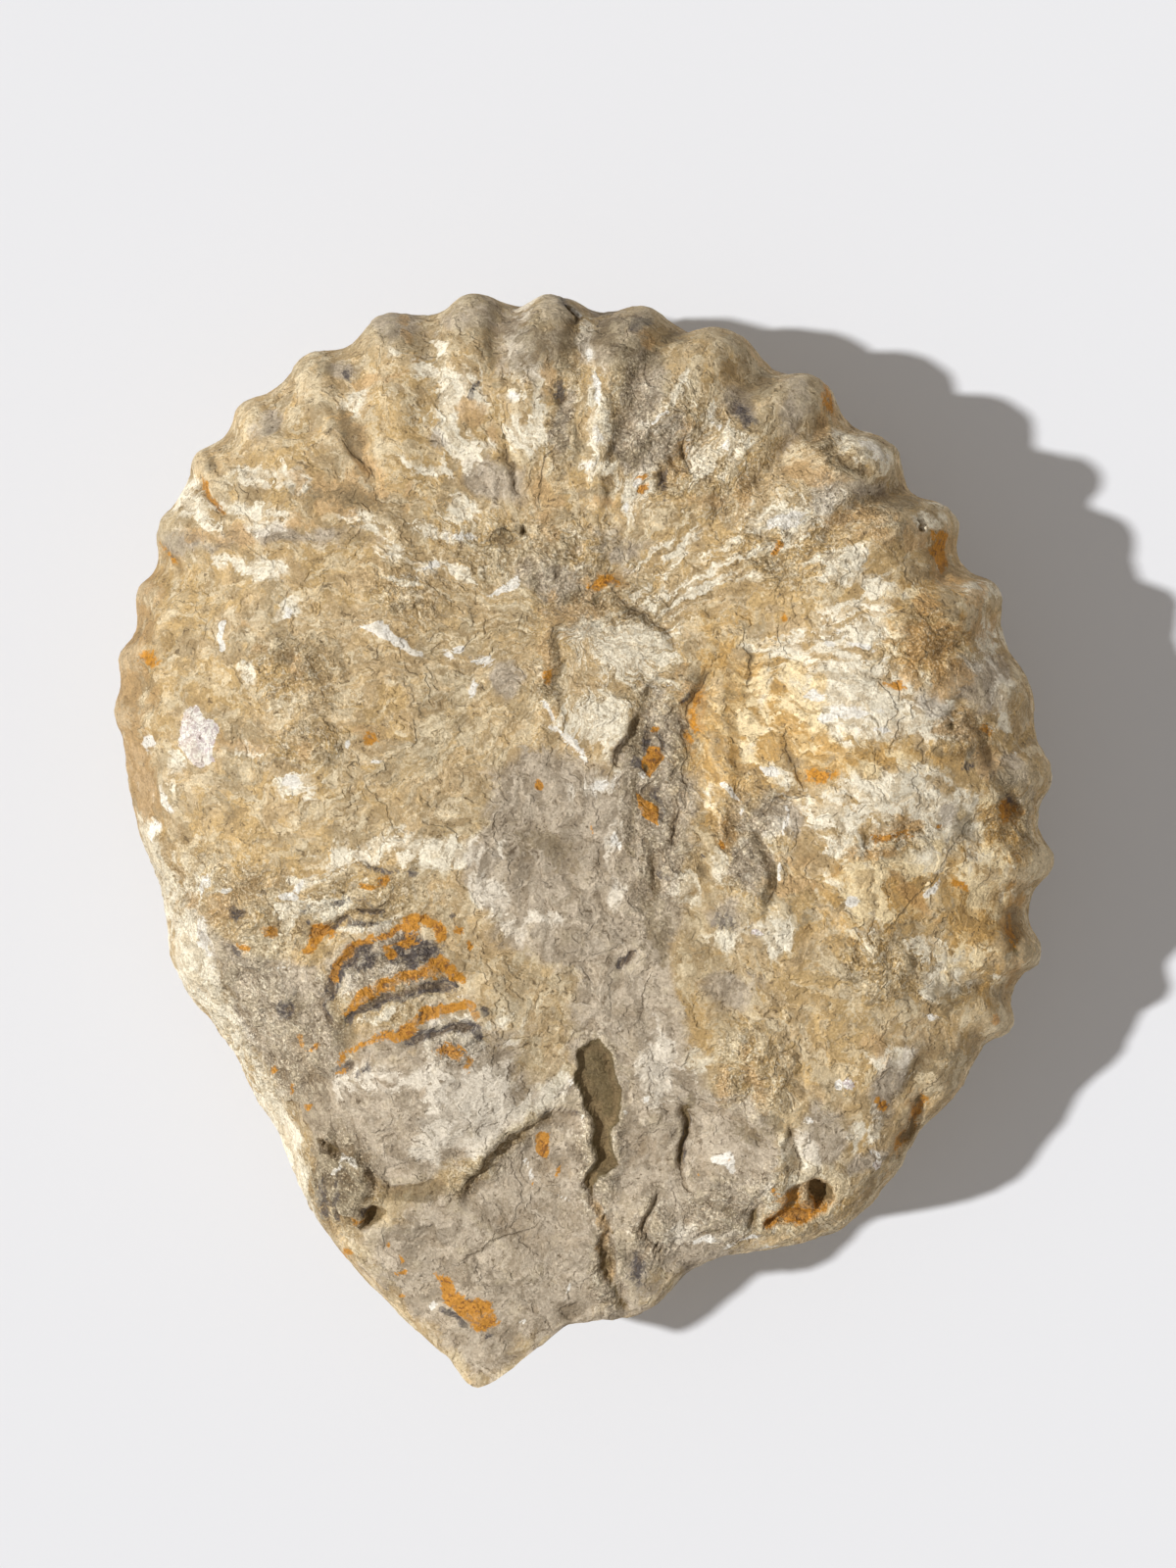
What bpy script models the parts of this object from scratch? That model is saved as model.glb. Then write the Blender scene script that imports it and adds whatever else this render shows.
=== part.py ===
"""Fossil ammonite with its own limestone, one stone lying on its flank.

Lengths are in millimetres and angles in degrees until the mesh is made. Plan positions
(u, v) are measured from the middle of the coil: u to the right, v towards the ribbed top.
Heights are above the ground that the stone rests on.
"""

import math

import bmesh
import bpy
import numpy as np

METRES = 0.001

# Where the middle of the coil lies from the middle of the stone's box
COIL_U, COIL_V = 1.83, 13.89

# The stone's edge between its ribs: (angle, radius) about the middle of the coil
EDGE = [
    (0, 91.6), (10, 89.4), (17, 88.3), (30, 85.9), (41, 85.7), (53, 87.3), (65, 88.5), (77, 90.8),
    (89, 92.1), (100, 94.7), (110, 97.1), (120, 98.6), (131, 99.8), (137, 99.4), (147, 99.3),
    (155, 96.6), (171, 97.7), (180, 96.3), (189, 95.2), (197, 93.4), (207, 97.1), (215, 96.2),
    (222, 97.6), (231, 101.8), (240, 110.2), (247, 114.6), (253, 119.0), (256.5, 121.6),
    (259.5, 125.6), (262, 122.2), (265, 116.4), (268, 111.6), (273, 110.4), (276.5, 109.6),
    (279, 106.0), (281, 103.6), (284, 103.4), (290, 104.2), (295, 106.2), (300, 106.8),
    (306, 103.8), (312, 100.6), (318, 100.6), (324, 98.8), (333, 97.2), (343, 94.0), (355, 91.7),
]
# The widest level of the stone, and how square its edge is above that level, by angle
WAIST = [
    (0, 32.0), (60, 28.0), (90, 27.0), (150, 29.0), (190, 20.0), (228, 19.0), (246, 28.0),
    (260, 41.0), (272, 39.0), (288, 33.0), (315, 31.0),
]
SQUARENESS = [(0, 5.6), (150, 5.4), (190, 4.2), (230, 5.5), (250, 15.0), (290, 12.0), (325, 6.0)]
# Below that level the edge is no squarer than this
LOWER_SQUARENESS = 5.0

# Ribs: angle of the tip, reach beyond the edge, height on the flank, half widths at the tip and
# at the inner end, and the plan points half way and at the inner end that the crest runs through
RIBS = [
    (328, 2.9, 0.5, 3.5, 3.0, (72.8, -46.9), (67.2, -43.2)),
    (337, 3.7, 0.8, 4.0, 3.4, (74.7, -34.8), (63.5, -32.0)),
    (348, 3.3, 0.9, 4.4, 4.0, (69.1, -19.9), (52.3, -20.8)),
    (359, 1.5, 1.6, 4.8, 4.4, (67.2, -4.0), (44.8, -5.9)),
    (10, 1.0, 1.3, 4.6, 4.4, (70.9, 13.7), (46.7, 10.9)),
    (22.8, 2.7, 1.7, 4.9, 4.6, (65.3, 27.7), (41.1, 18.4)),
    (34.2, 3.7, 2.2, 4.9, 4.4, (56.0, 43.6), (29.9, 24.0)),
    (46, 2.4, 2.7, 5.5, 4.6, (37.3, 48.3), (16.8, 29.6)),
    (58, 2.6, 2.6, 5.8, 4.4, (31.7, 63.2), (8.4, 38.9)),
    (70.8, 2.5, 2.4, 5.8, 4.0, (16.8, 70.7), (3.7, 43.6)),
    (82.6, 2.2, 2.1, 5.6, 3.6, (3.7, 72.5), (0.0, 50.1)),
    (93.5, 2.2, 1.5, 5.5, 4.2, (-11.2, 70.7), (-11.2, 48.3)),
    (103.2, 2.8, 1.2, 5.1, 4.0, (-24.3, 80.0), (-18.7, 55.7)),
    (114.6, 2.7, 1.2, 5.3, 4.0, (-35.5, 70.7), (-28.9, 50.1)),
    (124.5, 2.1, 1.0, 4.4, 4.0, (-48.5, 66.9), (-42.0, 50.1)),
    (134, 1.8, 0.9, 4.2, 3.6, (-57.9, 57.6), (-50.4, 47.3)),
    (141.5, 1.8, 0.8, 3.7, 3.4, (-65.3, 50.1), (-56.0, 41.7)),
    (151, 1.8, 0.8, 3.9, 3.4, (-72.8, 38.9), (-62.5, 33.3)),
    (159, 1.5, 0.7, 3.5, 3.4, (-79.3, 30.5), (-71.9, 28.7)),
    (167, 1.5, 0.7, 3.3, 3.2, (-83.1, 20.3), (-75.6, 19.9)),
    (174, 1.1, 0.6, 3.3, 3.2, (-84.0, 8.7), (-76.5, 9.1)),
]
RIB_ROUNDNESS = 2.6
# Share of a rib's length over which it rises from nothing
RIB_FADE = 0.85
# The blunt node on each rib: its place along the crest, its length and its swell, as shares
NODE_PLACE, NODE_LENGTH, NODE_SWELL = 0.82, 0.16, 0.22
SHOULDER_LEVEL = 42.0
SHOULDER_BAND = 8.0
SHOULDER_SWELL = 0.35

# Flank: the umbilicus, the swollen body whorl round it, and the seam beside the whorl
UMBILICUS = (0.0, 24.0)
FLANK_LEVEL = 54.0
WHORL_CREST_RADIUS = 60.0
WHORL_CREST_WIDTH = 22.0
WHORL_SWELL = 5.5
SEAM = [(12, 27), (17, 20), (20, 6), (17, -10), (13, -32), (17, -66), (17, -80)]
SEAM_DEPTH = 4.5
SEAM_WIDTH = 4.0

# The tongue of limestone at the foot, its mound and the hollows broken into it
TONGUE_START, TONGUE_END = -38.0, -74.0
TONGUE_LEVEL = 47.0
TONGUE_SLOPE = 0.10
MOUND = (-28.0, -56.0)
MOUND_RADIUS = 27.0
MOUND_HEIGHT = 4.5
HOLE = [(1.5, -55), (3.5, -64), (1.5, -81)]
HOLE_DEPTH, HOLE_WIDTH = 8.0, 4.4
CHANNEL = [(1.5, -81), (4.5, -90), (4.0, -112)]
CHANNEL_DEPTH, CHANNEL_WIDTH = 3.5, 3.8
CAVITY = [(41, -83), (49, -82)]
CAVITY_DEPTH, CAVITY_WIDTH = 7.0, 4.2

# Underside: a worn flat round the filled umbilicus, which rises away from the flat
FLAT_REACH = 52.0
UNDERSIDE_RISE = 6.0
UNDERSIDE_CUT = 3.2
HOLLOW_RADIUS = 14.0
HOLLOW_RISE = 2.2
UNDERSIDE_RIB_LOSS = 0.6

# Mesh: stations round the edge, each split in four, and rings from the middle outwards
PLAIN_STATIONS = [187, 200, 213, 226, 238, 249, 260, 272, 285, 299, 313]
COLUMNS_A_STATION = 4
EDGE_STEPS = [0.0, 0.22, 0.42, 0.6, 0.74, 0.85]
TOP_FRACTIONS = [
    0.96, 0.92, 0.88, 0.84, 0.8, 0.76, 0.72, 0.68, 0.64, 0.6, 0.55, 0.5, 0.45, 0.4, 0.34, 0.28, 0.22,
    0.15, 0.08,
]
BASE_FRACTIONS = [0.93, 0.85, 0.76, 0.67, 0.58, 0.49, 0.4, 0.32, 0.25, 0.18, 0.1]


def smooth_step(low, high, value):
    share = np.clip((value - low) / (high - low), 0.0, 1.0)
    return share * share * (3.0 - 2.0 * share)


def round_curve(points, angles):
    """A closed cubic curve through (angle, value) points."""
    at = np.array([p[0] for p in points], float)
    value = np.array([p[1] for p in points], float)
    at = np.concatenate([at[-2:] - 360.0, at, at[:2] + 360.0])
    value = np.concatenate([value[-2:], value, value[:2]])
    slope = np.zeros(len(at))
    slope[1:-1] = (value[2:] - value[:-2]) / (at[2:] - at[:-2])
    angles = np.mod(angles, 360.0)
    i = np.clip(np.searchsorted(at, angles, side="right") - 1, 1, len(at) - 3)
    width = at[i + 1] - at[i]
    t = (angles - at[i]) / width
    start = (1 + 2 * t) * (1 - t) ** 2 * value[i] + t * (1 - t) ** 2 * width * slope[i]
    end = t * t * (3 - 2 * t) * value[i + 1] - t * t * (1 - t) * width * slope[i + 1]
    return start + end


def along_path(path, u, v):
    """Plan distance from (u, v) to a run of straight lines, and the share of the way along it."""
    lengths = [math.dist(a, b) for a, b in zip(path[:-1], path[1:])]
    nearest = np.full(np.shape(u), np.inf)
    share = np.zeros(np.shape(u))
    done = 0.0
    for (au, av), (bu, bv), length in zip(path[:-1], path[1:], lengths):
        du, dv = (bu - au) / length, (bv - av) / length
        along = np.clip((u - au) * du + (v - av) * dv, 0.0, length)
        away = np.hypot(u - au - along * du, v - av - along * dv)
        share = np.where(away < nearest, (done + along) / sum(lengths), share)
        nearest = np.minimum(nearest, away)
        done += length
    return nearest, share


def groove(path, depth, width, u, v):
    return depth * np.exp(-((along_path(path, u, v)[0] / width) ** 2))


def top_height(u, v):
    """Height of the upper face before its ribs."""
    out = np.hypot(u - UMBILICUS[0], v - UMBILICUS[1])
    right = smooth_step(-10.0, 30.0, u + 0.25 * v)
    swell = np.exp(-(((out - WHORL_CREST_RADIUS) / WHORL_CREST_WIDTH) ** 2))
    flank = FLANK_LEVEL + WHORL_SWELL * swell * (0.25 + 0.75 * right)
    tongue = TONGUE_LEVEL + TONGUE_SLOPE * (v - TONGUE_END)
    tongue = tongue + 4.0 * smooth_step(6.0, 40.0, u)
    height = flank + (tongue - flank) * smooth_step(TONGUE_START, TONGUE_END, v)
    off_mound = np.hypot(u - MOUND[0], v - MOUND[1])
    height = height + MOUND_HEIGHT * smooth_step(MOUND_RADIUS + 3.0, MOUND_RADIUS - 7.0, off_mound)
    height = height - groove(SEAM, SEAM_DEPTH, SEAM_WIDTH, u, v)
    height = height - groove(HOLE, HOLE_DEPTH, HOLE_WIDTH, u, v)
    height = height - groove(CHANNEL, CHANNEL_DEPTH, CHANNEL_WIDTH, u, v)
    return height - groove(CAVITY, CAVITY_DEPTH, CAVITY_WIDTH, u, v)


def base_height(u, v):
    """Height of the underside before it is worn flat at the ground."""
    out = np.hypot(u, v)
    rise = np.minimum(UNDERSIDE_RISE * (out / FLAT_REACH) ** 2, UNDERSIDE_RISE) - UNDERSIDE_CUT
    wave = 0.8 * np.sin(u / 13.0 + 1.0) * np.cos(v / 17.0) + 0.5 * np.sin((u + v) / 9.0)
    hollow = smooth_step(HOLLOW_RADIUS, 0.5 * HOLLOW_RADIUS, out)
    return rise + wave + (HOLLOW_RISE + UNDERSIDE_CUT) * hollow


def rib_swell(share, level, u, v):
    """How far the ribs stand out of the plain stone, share being 1 on a flank and 0 at the waist."""
    swell = np.zeros(np.shape(u))
    for tip, reach, height, tip_width, inner_width, middle, inner in RIBS:
        edge = float(round_curve(EDGE, np.array([tip]))[0])
        end = (edge * math.cos(math.radians(tip)), edge * math.sin(math.radians(tip)))
        away, along = along_path([inner, middle, end], u, v)
        width = inner_width + (tip_width - inner_width) * along
        node = 1.0 + NODE_SWELL * np.exp(-(((along - NODE_PLACE) / NODE_LENGTH) ** 2))
        crest = reach + (height * node - reach) * share
        crest = crest * smooth_step(0.0, RIB_FADE, along)
        swell = np.maximum(swell, crest * np.exp(-((away / width) ** RIB_ROUNDNESS)))
    shoulder = SHOULDER_SWELL * np.exp(-(((level - SHOULDER_LEVEL) / SHOULDER_BAND) ** 2))
    return swell * (1.0 + shoulder)


def ring(angles, step, fraction, upper):
    """One ring of points: step is its place up the rounded edge, fraction its place inside that."""
    radius = round_curve(EDGE, angles)
    waist = round_curve(WAIST, angles)
    square = round_curve(SQUARENESS, angles)
    if not upper:
        square = np.minimum(square, LOWER_SQUARENESS)
    inside = (1.0 - step**2) ** (1.0 / square) * fraction
    share = np.sqrt(1.0 - inside**square)
    cos, sin = np.cos(np.radians(angles)), np.sin(np.radians(angles))
    u, v = radius * inside * cos, radius * inside * sin
    target = top_height(u, v) if upper else base_height(u, v)
    level = waist + (target - waist) * share
    swell = rib_swell(share, level, u, v)
    if not upper:
        swell = swell * (1.0 - UNDERSIDE_RIB_LOSS * share)
    outwards = swell * np.sqrt(1.0 - share**2)
    level = level + swell * share * (1.0 if upper else -1.0)
    return np.stack([u + outwards * cos, v + outwards * sin, np.maximum(level, 0.0)], axis=1)


def all_columns():
    stations = sorted([r[0] for r in RIBS] + PLAIN_STATIONS)
    stations.append(stations[0] + 360.0)
    columns = []
    for start, end in zip(stations[:-1], stations[1:]):
        for k in range(COLUMNS_A_STATION):
            columns.append(start + (end - start) * k / COLUMNS_A_STATION)
    return np.array(columns)


def rings():
    """Rings from the top's middle, over the edge, to the underside's middle."""
    columns = all_columns()

    def thinned(fraction):
        skip = 1 if fraction > 0.62 else 2 if fraction > 0.33 else 4 if fraction > 0.16 else 8
        return columns[::skip]

    found = []
    for fraction in reversed(TOP_FRACTIONS):
        found.append(ring(thinned(fraction), EDGE_STEPS[-1], fraction, True))
    for step in reversed(EDGE_STEPS):
        found.append(ring(columns, step, 1.0, True))
    for step in EDGE_STEPS[1:]:
        found.append(ring(columns, step, 1.0, False))
    for fraction in BASE_FRACTIONS:
        found.append(ring(thinned(fraction), EDGE_STEPS[-1], fraction, False))
    return found


def band_faces(outer, inner, outer_count, inner_count):
    """Triangles between two rings, the inner one having as many points or half as many."""
    faces = []
    for j in range(inner_count):
        nxt = (j + 1) % inner_count
        if outer_count == inner_count:
            faces.append((outer + j, outer + nxt, inner + nxt))
            faces.append((outer + j, inner + nxt, inner + j))
        else:
            far = outer + (2 * j + 2) % outer_count
            faces.append((outer + 2 * j, outer + 2 * j + 1, inner + j))
            faces.append((outer + 2 * j + 1, inner + nxt, inner + j))
            faces.append((outer + 2 * j + 1, far, inner + nxt))
    return faces


def stone_mesh():
    found = rings()
    points = np.concatenate(found)
    starts = np.concatenate([[0], np.cumsum([len(r) for r in found])])
    faces = []
    for k in range(len(found) - 1):
        here, there = len(found[k]), len(found[k + 1])
        if there >= here:
            faces += band_faces(starts[k + 1], starts[k], there, here)
        else:
            faces += [f[::-1] for f in band_faces(starts[k], starts[k + 1], here, there)]
    for k, upper in ((0, True), (len(found) - 1, False)):
        middle = len(points)
        points = np.concatenate([points, found[k].mean(axis=0)[None, :]])
        count = len(found[k])
        for j in range(count):
            face = (middle, starts[k] + j, starts[k] + (j + 1) % count)
            faces.append(face if upper else face[::-1])
    points = (points + np.array([COIL_U, COIL_V, 0.0])) * METRES
    mesh = bpy.data.meshes.new("ammonite")
    mesh.from_pydata([tuple(p) for p in points], [], [tuple(int(i) for i in f) for f in faces])
    shaping = bmesh.new()
    shaping.from_mesh(mesh)
    bmesh.ops.recalc_face_normals(shaping, faces=shaping.faces)
    shaping.to_mesh(mesh)
    shaping.free()
    return mesh


def limestone():
    material = bpy.data.materials.new("limestone")
    material.use_nodes = True
    shader = material.node_tree.nodes["Principled BSDF"]
    shader.inputs["Base Color"].default_value = (0.44, 0.36, 0.24, 1.0)
    shader.inputs["Roughness"].default_value = 0.85
    return material


def main():
    for old in list(bpy.data.objects):
        bpy.data.objects.remove(old)
    mesh = stone_mesh()
    mesh.materials.append(limestone())
    stone = bpy.data.objects.new("ammonite", mesh)
    bpy.context.scene.collection.objects.link(stone)


main()
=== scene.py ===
"""Looks of the fossil ammonite: one finely modelled stone with its own procedural limestone.

Lengths are in millimetres until the mesh is made. Plan positions (u, v) are measured from the
middle of the coil, as in the CAD. Marks and breaks are placed by where they are seen from above,
in pixels (x, y) of a 1200 x 1600 picture taken by the camera below.
"""

import math

import bpy
import numpy as np
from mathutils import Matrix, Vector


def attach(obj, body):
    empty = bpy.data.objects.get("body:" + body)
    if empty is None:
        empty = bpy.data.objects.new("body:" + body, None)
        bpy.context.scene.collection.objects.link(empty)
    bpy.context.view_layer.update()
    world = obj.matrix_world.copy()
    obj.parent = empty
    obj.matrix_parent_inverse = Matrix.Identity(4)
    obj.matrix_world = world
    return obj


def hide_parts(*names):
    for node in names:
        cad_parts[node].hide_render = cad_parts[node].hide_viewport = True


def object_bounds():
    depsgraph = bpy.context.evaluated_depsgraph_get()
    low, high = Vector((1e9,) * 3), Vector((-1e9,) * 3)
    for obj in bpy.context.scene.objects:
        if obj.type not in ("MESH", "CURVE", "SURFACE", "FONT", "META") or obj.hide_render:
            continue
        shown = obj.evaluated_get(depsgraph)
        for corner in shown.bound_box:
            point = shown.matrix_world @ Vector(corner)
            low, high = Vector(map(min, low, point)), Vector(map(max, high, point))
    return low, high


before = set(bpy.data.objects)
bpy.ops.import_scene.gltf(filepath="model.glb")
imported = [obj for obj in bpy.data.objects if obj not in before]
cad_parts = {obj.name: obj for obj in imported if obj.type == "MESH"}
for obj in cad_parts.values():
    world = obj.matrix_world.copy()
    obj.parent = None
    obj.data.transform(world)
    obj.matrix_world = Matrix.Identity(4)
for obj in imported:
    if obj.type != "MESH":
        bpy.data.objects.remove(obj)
cad_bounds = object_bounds()

METRES = 0.001
# Where the middle of the coil lies from the middle of the stone's box
COIL_U, COIL_V = 1.83, 13.89

# The camera looks straight down; it sits over this plan position
CAMERA_U, CAMERA_V, CAMERA_HEIGHT = 0.0, -4.0, 330.0
PIXELS = 1500.0
PICTURE_X, PICTURE_Y = 600.0, 800.0
LENS_MM, SENSOR_MM = 33.75, 36.0


# ---------------------------------------------------------------- form
# The stone's edge between its ribs: (angle, radius) about the middle of the coil
EDGE = [
    (0, 91.6), (10, 89.4), (17, 88.3), (30, 85.9), (41, 85.7), (53, 87.3), (65, 88.5), (77, 90.8),
    (89, 92.1), (100, 94.7), (110, 97.1), (120, 98.6), (131, 99.8), (137, 99.4), (147, 99.3),
    (155, 96.6), (171, 97.7), (180, 96.3), (189, 95.2), (197, 93.4), (207, 97.1), (215, 96.2),
    (222, 97.6), (231, 101.8), (240, 110.2), (247, 114.6), (253, 119.0), (256.5, 121.6),
    (259.5, 125.6), (262, 122.2), (265, 116.4), (268, 111.6), (273, 110.4), (276.5, 109.6),
    (279, 106.0), (281, 103.6), (284, 103.4), (290, 104.2), (295, 106.2), (300, 106.8),
    (306, 103.8), (312, 100.6), (318, 100.6), (324, 98.8), (333, 97.2), (343, 94.0), (355, 91.7),
]
# The widest level of the stone, and how square its edge is above that level, by angle
WAIST = [(0, 32.0), (60, 28.0), (90, 27.0), (150, 29.0), (190, 20.0), (228, 19.0), (246, 28.0),
         (260, 41.0), (272, 39.0), (288, 33.0), (315, 31.0)]
SQUARENESS = [(0, 5.6), (150, 5.4), (190, 4.2), (230, 5.5), (250, 15.0), (290, 12.0), (325, 6.0)]
# Tip angle, reach, flank height, half widths at tip and inner end, crest half way, inner end of crest
RIBS = [
    (328, 2.9, 0.5, 3.5, 3.0, (72.8, -46.9), (67.2, -43.2)),
    (337, 3.7, 0.8, 4.0, 3.4, (74.7, -34.8), (63.5, -32.0)),
    (348, 3.3, 0.9, 4.4, 4.0, (69.1, -19.9), (52.3, -20.8)),
    (359, 1.5, 1.6, 4.8, 4.4, (67.2, -4.0), (44.8, -5.9)),
    (10, 1.0, 1.3, 4.6, 4.4, (70.9, 13.7), (46.7, 10.9)),
    (22.8, 2.7, 1.7, 4.9, 4.6, (65.3, 27.7), (41.1, 18.4)),
    (34.2, 3.7, 2.2, 4.9, 4.4, (56.0, 43.6), (29.9, 24.0)),
    (46, 2.4, 2.7, 5.5, 4.6, (37.3, 48.3), (16.8, 29.6)),
    (58, 2.6, 2.6, 5.8, 4.4, (31.7, 63.2), (8.4, 38.9)),
    (70.8, 2.5, 2.4, 5.8, 4.0, (16.8, 70.7), (3.7, 43.6)),
    (82.6, 2.2, 2.1, 5.6, 3.6, (3.7, 72.5), (0.0, 50.1)),
    (93.5, 2.2, 1.5, 5.5, 4.2, (-11.2, 70.7), (-11.2, 48.3)),
    (103.2, 2.8, 1.2, 5.1, 4.0, (-24.3, 80.0), (-18.7, 55.7)),
    (114.6, 2.7, 1.2, 5.3, 4.0, (-35.5, 70.7), (-28.9, 50.1)),
    (124.5, 2.1, 1.0, 4.4, 4.0, (-48.5, 66.9), (-42.0, 50.1)),
    (134, 1.8, 0.9, 4.2, 3.6, (-57.9, 57.6), (-50.4, 47.3)),
    (141.5, 1.8, 0.8, 3.7, 3.4, (-65.3, 50.1), (-56.0, 41.7)),
    (151, 1.8, 0.8, 3.9, 3.4, (-72.8, 38.9), (-62.5, 33.3)),
    (159, 1.5, 0.7, 3.5, 3.4, (-79.3, 30.5), (-71.9, 28.7)),
    (167, 1.5, 0.7, 3.3, 3.2, (-83.1, 20.3), (-75.6, 19.9)),
    (174, 1.1, 0.6, 3.3, 3.2, (-84.0, 8.7), (-76.5, 9.1)),
]
RIB_ROUNDNESS = 2.6
RIB_FADE = 0.85
NODE_PLACE, NODE_LENGTH, NODE_SWELL = 0.82, 0.16, 0.22
LOWER_SQUARENESS = 5.0
SHOULDER_LEVEL, SHOULDER_BAND, SHOULDER_SWELL = 42.0, 8.0, 0.35
# The filled coil, and the outer whorl that stands up round it, most of all on the right
UMBILICUS = (0.0, 24.0)
FLANK_LEVEL = 54.0
WHORL_CREST_RADIUS, WHORL_CREST_WIDTH, WHORL_SWELL = 60.0, 22.0, 5.5
WHORL_LEFT_SHARE, WHORL_RIGHT_FROM, WHORL_RIGHT_TO = 0.25, -10.0, 30.0
# The tongue at the foot: it takes over between these levels of v and rises a little to the right
TONGUE_START, TONGUE_END = -38.0, -74.0
TONGUE_LEVEL, TONGUE_SLOPE = 47.0, 0.10
TONGUE_RIGHT_RISE, TONGUE_RIGHT_FROM, TONGUE_RIGHT_TO = 4.0, 6.0, 40.0
# The underside: a worn flat round a hollow, rising towards the edge
FLAT_REACH, UNDERSIDE_RISE, UNDERSIDE_CUT = 52.0, 6.0, 3.2
HOLLOW_RADIUS, HOLLOW_RISE = 14.0, 2.2
UNDERSIDE_RIB_LOSS = 0.6

# Fine mesh: columns round the stone, rings over its rounded edge, spacing of the rings inside that
COLUMNS = 720
EDGE_TOP_STEP = 0.85
EDGE_RINGS_UPPER, EDGE_RINGS_LOWER = 34, 18
TOP_SPACING, BASE_SPACING = 0.009, 0.020


def smooth_step(low, high, value):
    """0 below low, 1 above high, smooth between; turned round if low is above high."""
    share = np.clip((value - low) / (high - low), 0.0, 1.0)
    return share * share * (3.0 - 2.0 * share)


def round_curve(points, angles):
    """A closed cubic curve through (angle, value) points."""
    at = np.array([p[0] for p in points], float)
    value = np.array([p[1] for p in points], float)
    at = np.concatenate([at[-2:] - 360.0, at, at[:2] + 360.0])
    value = np.concatenate([value[-2:], value, value[:2]])
    slope = np.zeros(len(at))
    slope[1:-1] = (value[2:] - value[:-2]) / (at[2:] - at[:-2])
    angles = np.mod(angles, 360.0)
    i = np.clip(np.searchsorted(at, angles, side="right") - 1, 1, len(at) - 3)
    width = at[i + 1] - at[i]
    t = (angles - at[i]) / width
    start = (1 + 2 * t) * (1 - t) ** 2 * value[i] + t * (1 - t) ** 2 * width * slope[i]
    end = t * t * (3 - 2 * t) * value[i + 1] - t * t * (1 - t) * width * slope[i + 1]
    return start + end


# ---------------------------------------------------------------- noise
def lattice(seed):
    """A shuffled order and a chance direction for each corner of a grid in space."""
    draw = np.random.RandomState(seed)
    order = draw.permutation(256)
    ways = draw.normal(size=(256, 3))
    ways /= np.linalg.norm(ways, axis=1)[:, None]
    return np.concatenate([order, order, order]), ways


def noise(points, size, seed):
    """Smooth gradient noise, about -1 to 1, with bumps of that size."""
    order, ways = lattice(seed)
    p = points / size
    cell = np.floor(p).astype(int)
    f = p - cell
    w = f * f * f * (f * (f * 6 - 15) + 10)
    cell &= 255
    total = np.zeros(len(p))
    for dx in (0, 1):
        for dy in (0, 1):
            for dz in (0, 1):
                key = order[order[order[(cell[:, 0] + dx) & 255] + ((cell[:, 1] + dy) & 255)]
                            + ((cell[:, 2] + dz) & 255)]
                off = f - np.array([dx, dy, dz])
                part = (ways[key & 255] * off).sum(axis=1)
                share = np.ones(len(p))
                for axis, d in enumerate((dx, dy, dz)):
                    share = share * (w[:, axis] if d else 1 - w[:, axis])
                total += share * part
    return total * 1.6


def fractal(points, size, seed, octaves=4, loss=0.5):
    """Noise with finer and fainter noise added to it."""
    total, gain = np.zeros(len(points)), 1.0
    for k in range(octaves):
        total += gain * noise(points, size / 2.0**k, seed + k)
        gain *= loss
    return total


def facets(points, size, seed):
    """Broken-rock relief: each cell of space is a flat chip with its own slant, about -1 to 1."""
    order, ways = lattice(seed)
    jitter = np.random.RandomState(seed + 77).uniform(0.0, 1.0, (256, 3))
    p = points / size
    cell = np.floor(p).astype(int)
    best = np.full(len(p), 9.0)
    height = np.zeros(len(p))
    for dx in (-1, 0, 1):
        for dy in (-1, 0, 1):
            for dz in (-1, 0, 1):
                c = cell + np.array([dx, dy, dz])
                k = c & 255
                key = order[order[order[k[:, 0]] + k[:, 1]] + k[:, 2]] & 255
                off = p - c - jitter[key]
                d = (off * off).sum(axis=1)
                nearer = d < best
                best = np.where(nearer, d, best)
                slant = (off * ways[key]).sum(axis=1) + 0.35 * ways[key, 2]
                height = np.where(nearer, slant, height)
    return height


# ---------------------------------------------------------------- seen positions
def seen(u, v, z):
    """Where the camera sees a place on the stone, in pixels."""
    scale = PIXELS / (CAMERA_HEIGHT - z)
    return PICTURE_X + (u - CAMERA_U) * scale, PICTURE_Y - (v - CAMERA_V) * scale


def to_line(points, x, y):
    """(distance, signed distance, share of the way along) to a run of straight lines."""
    nearest = np.full(np.shape(x), 1e9)
    signed = np.zeros(np.shape(x))
    share = np.zeros(np.shape(x))
    lengths = [math.dist(a, b) for a, b in zip(points[:-1], points[1:])]
    total, done = sum(lengths), 0.0
    for (ax, ay), (bx, by), length in zip(points[:-1], points[1:], lengths):
        dx, dy = (bx - ax) / length, (by - ay) / length
        t = np.clip((x - ax) * dx + (y - ay) * dy, 0.0, length)
        away = np.hypot(x - ax - t * dx, y - ay - t * dy)
        side = np.sign((x - ax) * dy - (y - ay) * dx)
        near = away < nearest
        nearest = np.where(near, away, nearest)
        signed = np.where(near, away * side, signed)
        share = np.where(near, (done + t) / total, share)
        done += length
    return nearest, signed, share


def in_oval(cx, cy, half_w, half_h, turn, x, y):
    """Distance from the middle of a turned oval, 1 on its rim."""
    c, s = math.cos(math.radians(turn)), math.sin(math.radians(turn))
    a = ((x - cx) * c + (y - cy) * s) / half_w
    b = (-(x - cx) * s + (y - cy) * c) / half_h
    return np.hypot(a, b)


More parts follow.
